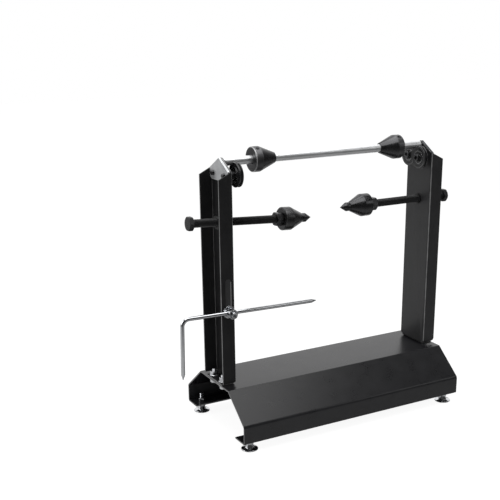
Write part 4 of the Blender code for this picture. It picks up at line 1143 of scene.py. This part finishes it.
def floor_material():
    """White floor that still shows the object's soft shadow. Glossy rays see it darker, most of
    all in front."""
    material = bpy.data.materials.new("studio_floor")
    material.use_nodes = True
    tree = material.node_tree
    tree.nodes.clear()
    output = node_of(tree, "ShaderNodeOutputMaterial")
    matte = node_of(tree, "ShaderNodeBsdfDiffuse")
    matte.inputs["Color"].default_value = FLOOR_COLOUR
    reflected = node_of(tree, "ShaderNodeBsdfDiffuse")
    split = node_of(tree, "ShaderNodeSeparateXYZ")
    tree.links.new(node_of(tree, "ShaderNodeTexCoord").outputs["Object"], split.inputs["Vector"])
    depth = node_of(tree, "ShaderNodeMapRange", interpolation_type="SMOOTHSTEP")
    depth.inputs["From Min"].default_value = REFLECTED_RANGE[0]
    depth.inputs["From Max"].default_value = REFLECTED_RANGE[1]
    depth.inputs["To Min"].default_value = REFLECTED_FRONT
    depth.inputs["To Max"].default_value = REFLECTED_BEHIND
    tree.links.new(split.outputs["Y"], depth.inputs["Value"])
    tree.links.new(depth.outputs["Result"], reflected.inputs["Color"])
    pale = node_of(tree, "ShaderNodeBsdfDiffuse")
    pale.inputs["Color"].default_value = SHADOW_COLOUR
    path = node_of(tree, "ShaderNodeLightPath")
    indirect = node_of(tree, "ShaderNodeMixShader")
    tree.links.new(path.outputs["Is Glossy Ray"], indirect.inputs["Fac"])
    tree.links.new(matte.outputs["BSDF"], indirect.inputs[1])
    tree.links.new(reflected.outputs["BSDF"], indirect.inputs[2])
    glow = node_of(tree, "ShaderNodeEmission")
    glow.inputs["Strength"].default_value = FLOOR_GLOW
    seen = node_of(tree, "ShaderNodeAddShader")
    mix = node_of(tree, "ShaderNodeMixShader")
    tree.links.new(pale.outputs["BSDF"], seen.inputs[0])
    tree.links.new(glow.outputs["Emission"], seen.inputs[1])
    direct = calculated(tree, "MAXIMUM", path.outputs["Is Camera Ray"],
                        path.outputs["Is Transmission Ray"])
    tree.links.new(direct, mix.inputs["Fac"])
    tree.links.new(indirect.outputs["Shader"], mix.inputs[1])
    tree.links.new(seen.outputs["Shader"], mix.inputs[2])
    tree.links.new(mix.outputs["Shader"], output.inputs["Surface"])
    return material


def build_floor():
    far = FLOOR_REACH
    mesh = bpy.data.meshes.new("floor")
    mesh.from_pydata([(-far, -far, 0), (far, -far, 0), (far, far, 0), (-far, far, 0)], [],
                     [(0, 1, 2, 3)])
    mesh.materials.append(floor_material())
    floor = link("floor", mesh)
    floor.location = (0, 0, -FLOOR_DROP)


def build_world():
    world = bpy.data.worlds.new("studio")
    bpy.context.scene.world = world
    world.use_nodes = True
    tree = world.node_tree
    background = tree.nodes["Background"]
    background.inputs["Color"].default_value = (1, 1, 1, 1)
    path = node_of(tree, "ShaderNodeLightPath")
    direct = calculated(tree, "MAXIMUM", path.outputs["Is Camera Ray"],
                        path.outputs["Is Transmission Ray"])
    glossy = calculated(tree, "MULTIPLY", path.outputs["Is Glossy Ray"], backdrop_side(tree))
    seen = calculated(tree, "MAXIMUM", direct, glossy)
    lit = calculated(tree, "SUBTRACT", WORLD_LIGHT, calculated(
        tree, "MULTIPLY", WORLD_LIGHT,
        calculated(tree, "MAXIMUM", direct, path.outputs["Is Glossy Ray"])))
    tree.links.new(calculated(tree, "ADD", seen, lit), background.inputs["Strength"])


def add_softbox(name, place, target, size, power):
    light = bpy.data.lights.new(name, "AREA")
    light.shape = "RECTANGLE"
    light.size, light.size_y = size
    light.energy = power
    lamp = link(name, light)
    lamp.location = place
    lamp.rotation_euler = (Vector(target) - Vector(place)).to_track_quat("-Z", "Y").to_euler()


def build_camera():
    data = bpy.data.cameras.new("camera")
    data.lens = CAMERA_LENS
    data.sensor_width = CAMERA_SENSOR
    data.shift_x, data.shift_y = CAMERA_SHIFT
    data.clip_start = CAMERA_CLIP_START
    camera = link("camera", data)
    aim = Vector(CAMERA_AIM).to_track_quat("-Z", "Y").to_matrix().to_4x4()
    roll = Matrix.Rotation(CAMERA_ROLL, 4, "Z")
    camera.matrix_world = Matrix.Translation(CAMERA_PLACE) @ aim @ roll
    bpy.context.scene.camera = camera


def build_studio():
    build_floor()
    build_world()
    for softbox in SOFTBOXES:
        add_softbox(*softbox)
    build_camera()


build_sheets()
build_upright_bolts()
build_rollers()
build_shaft()
build_arms()
build_pointer()
build_feet()
build_studio()
bpy.context.scene.view_settings.view_transform = "Standard"

bpy.context.view_layer.update()
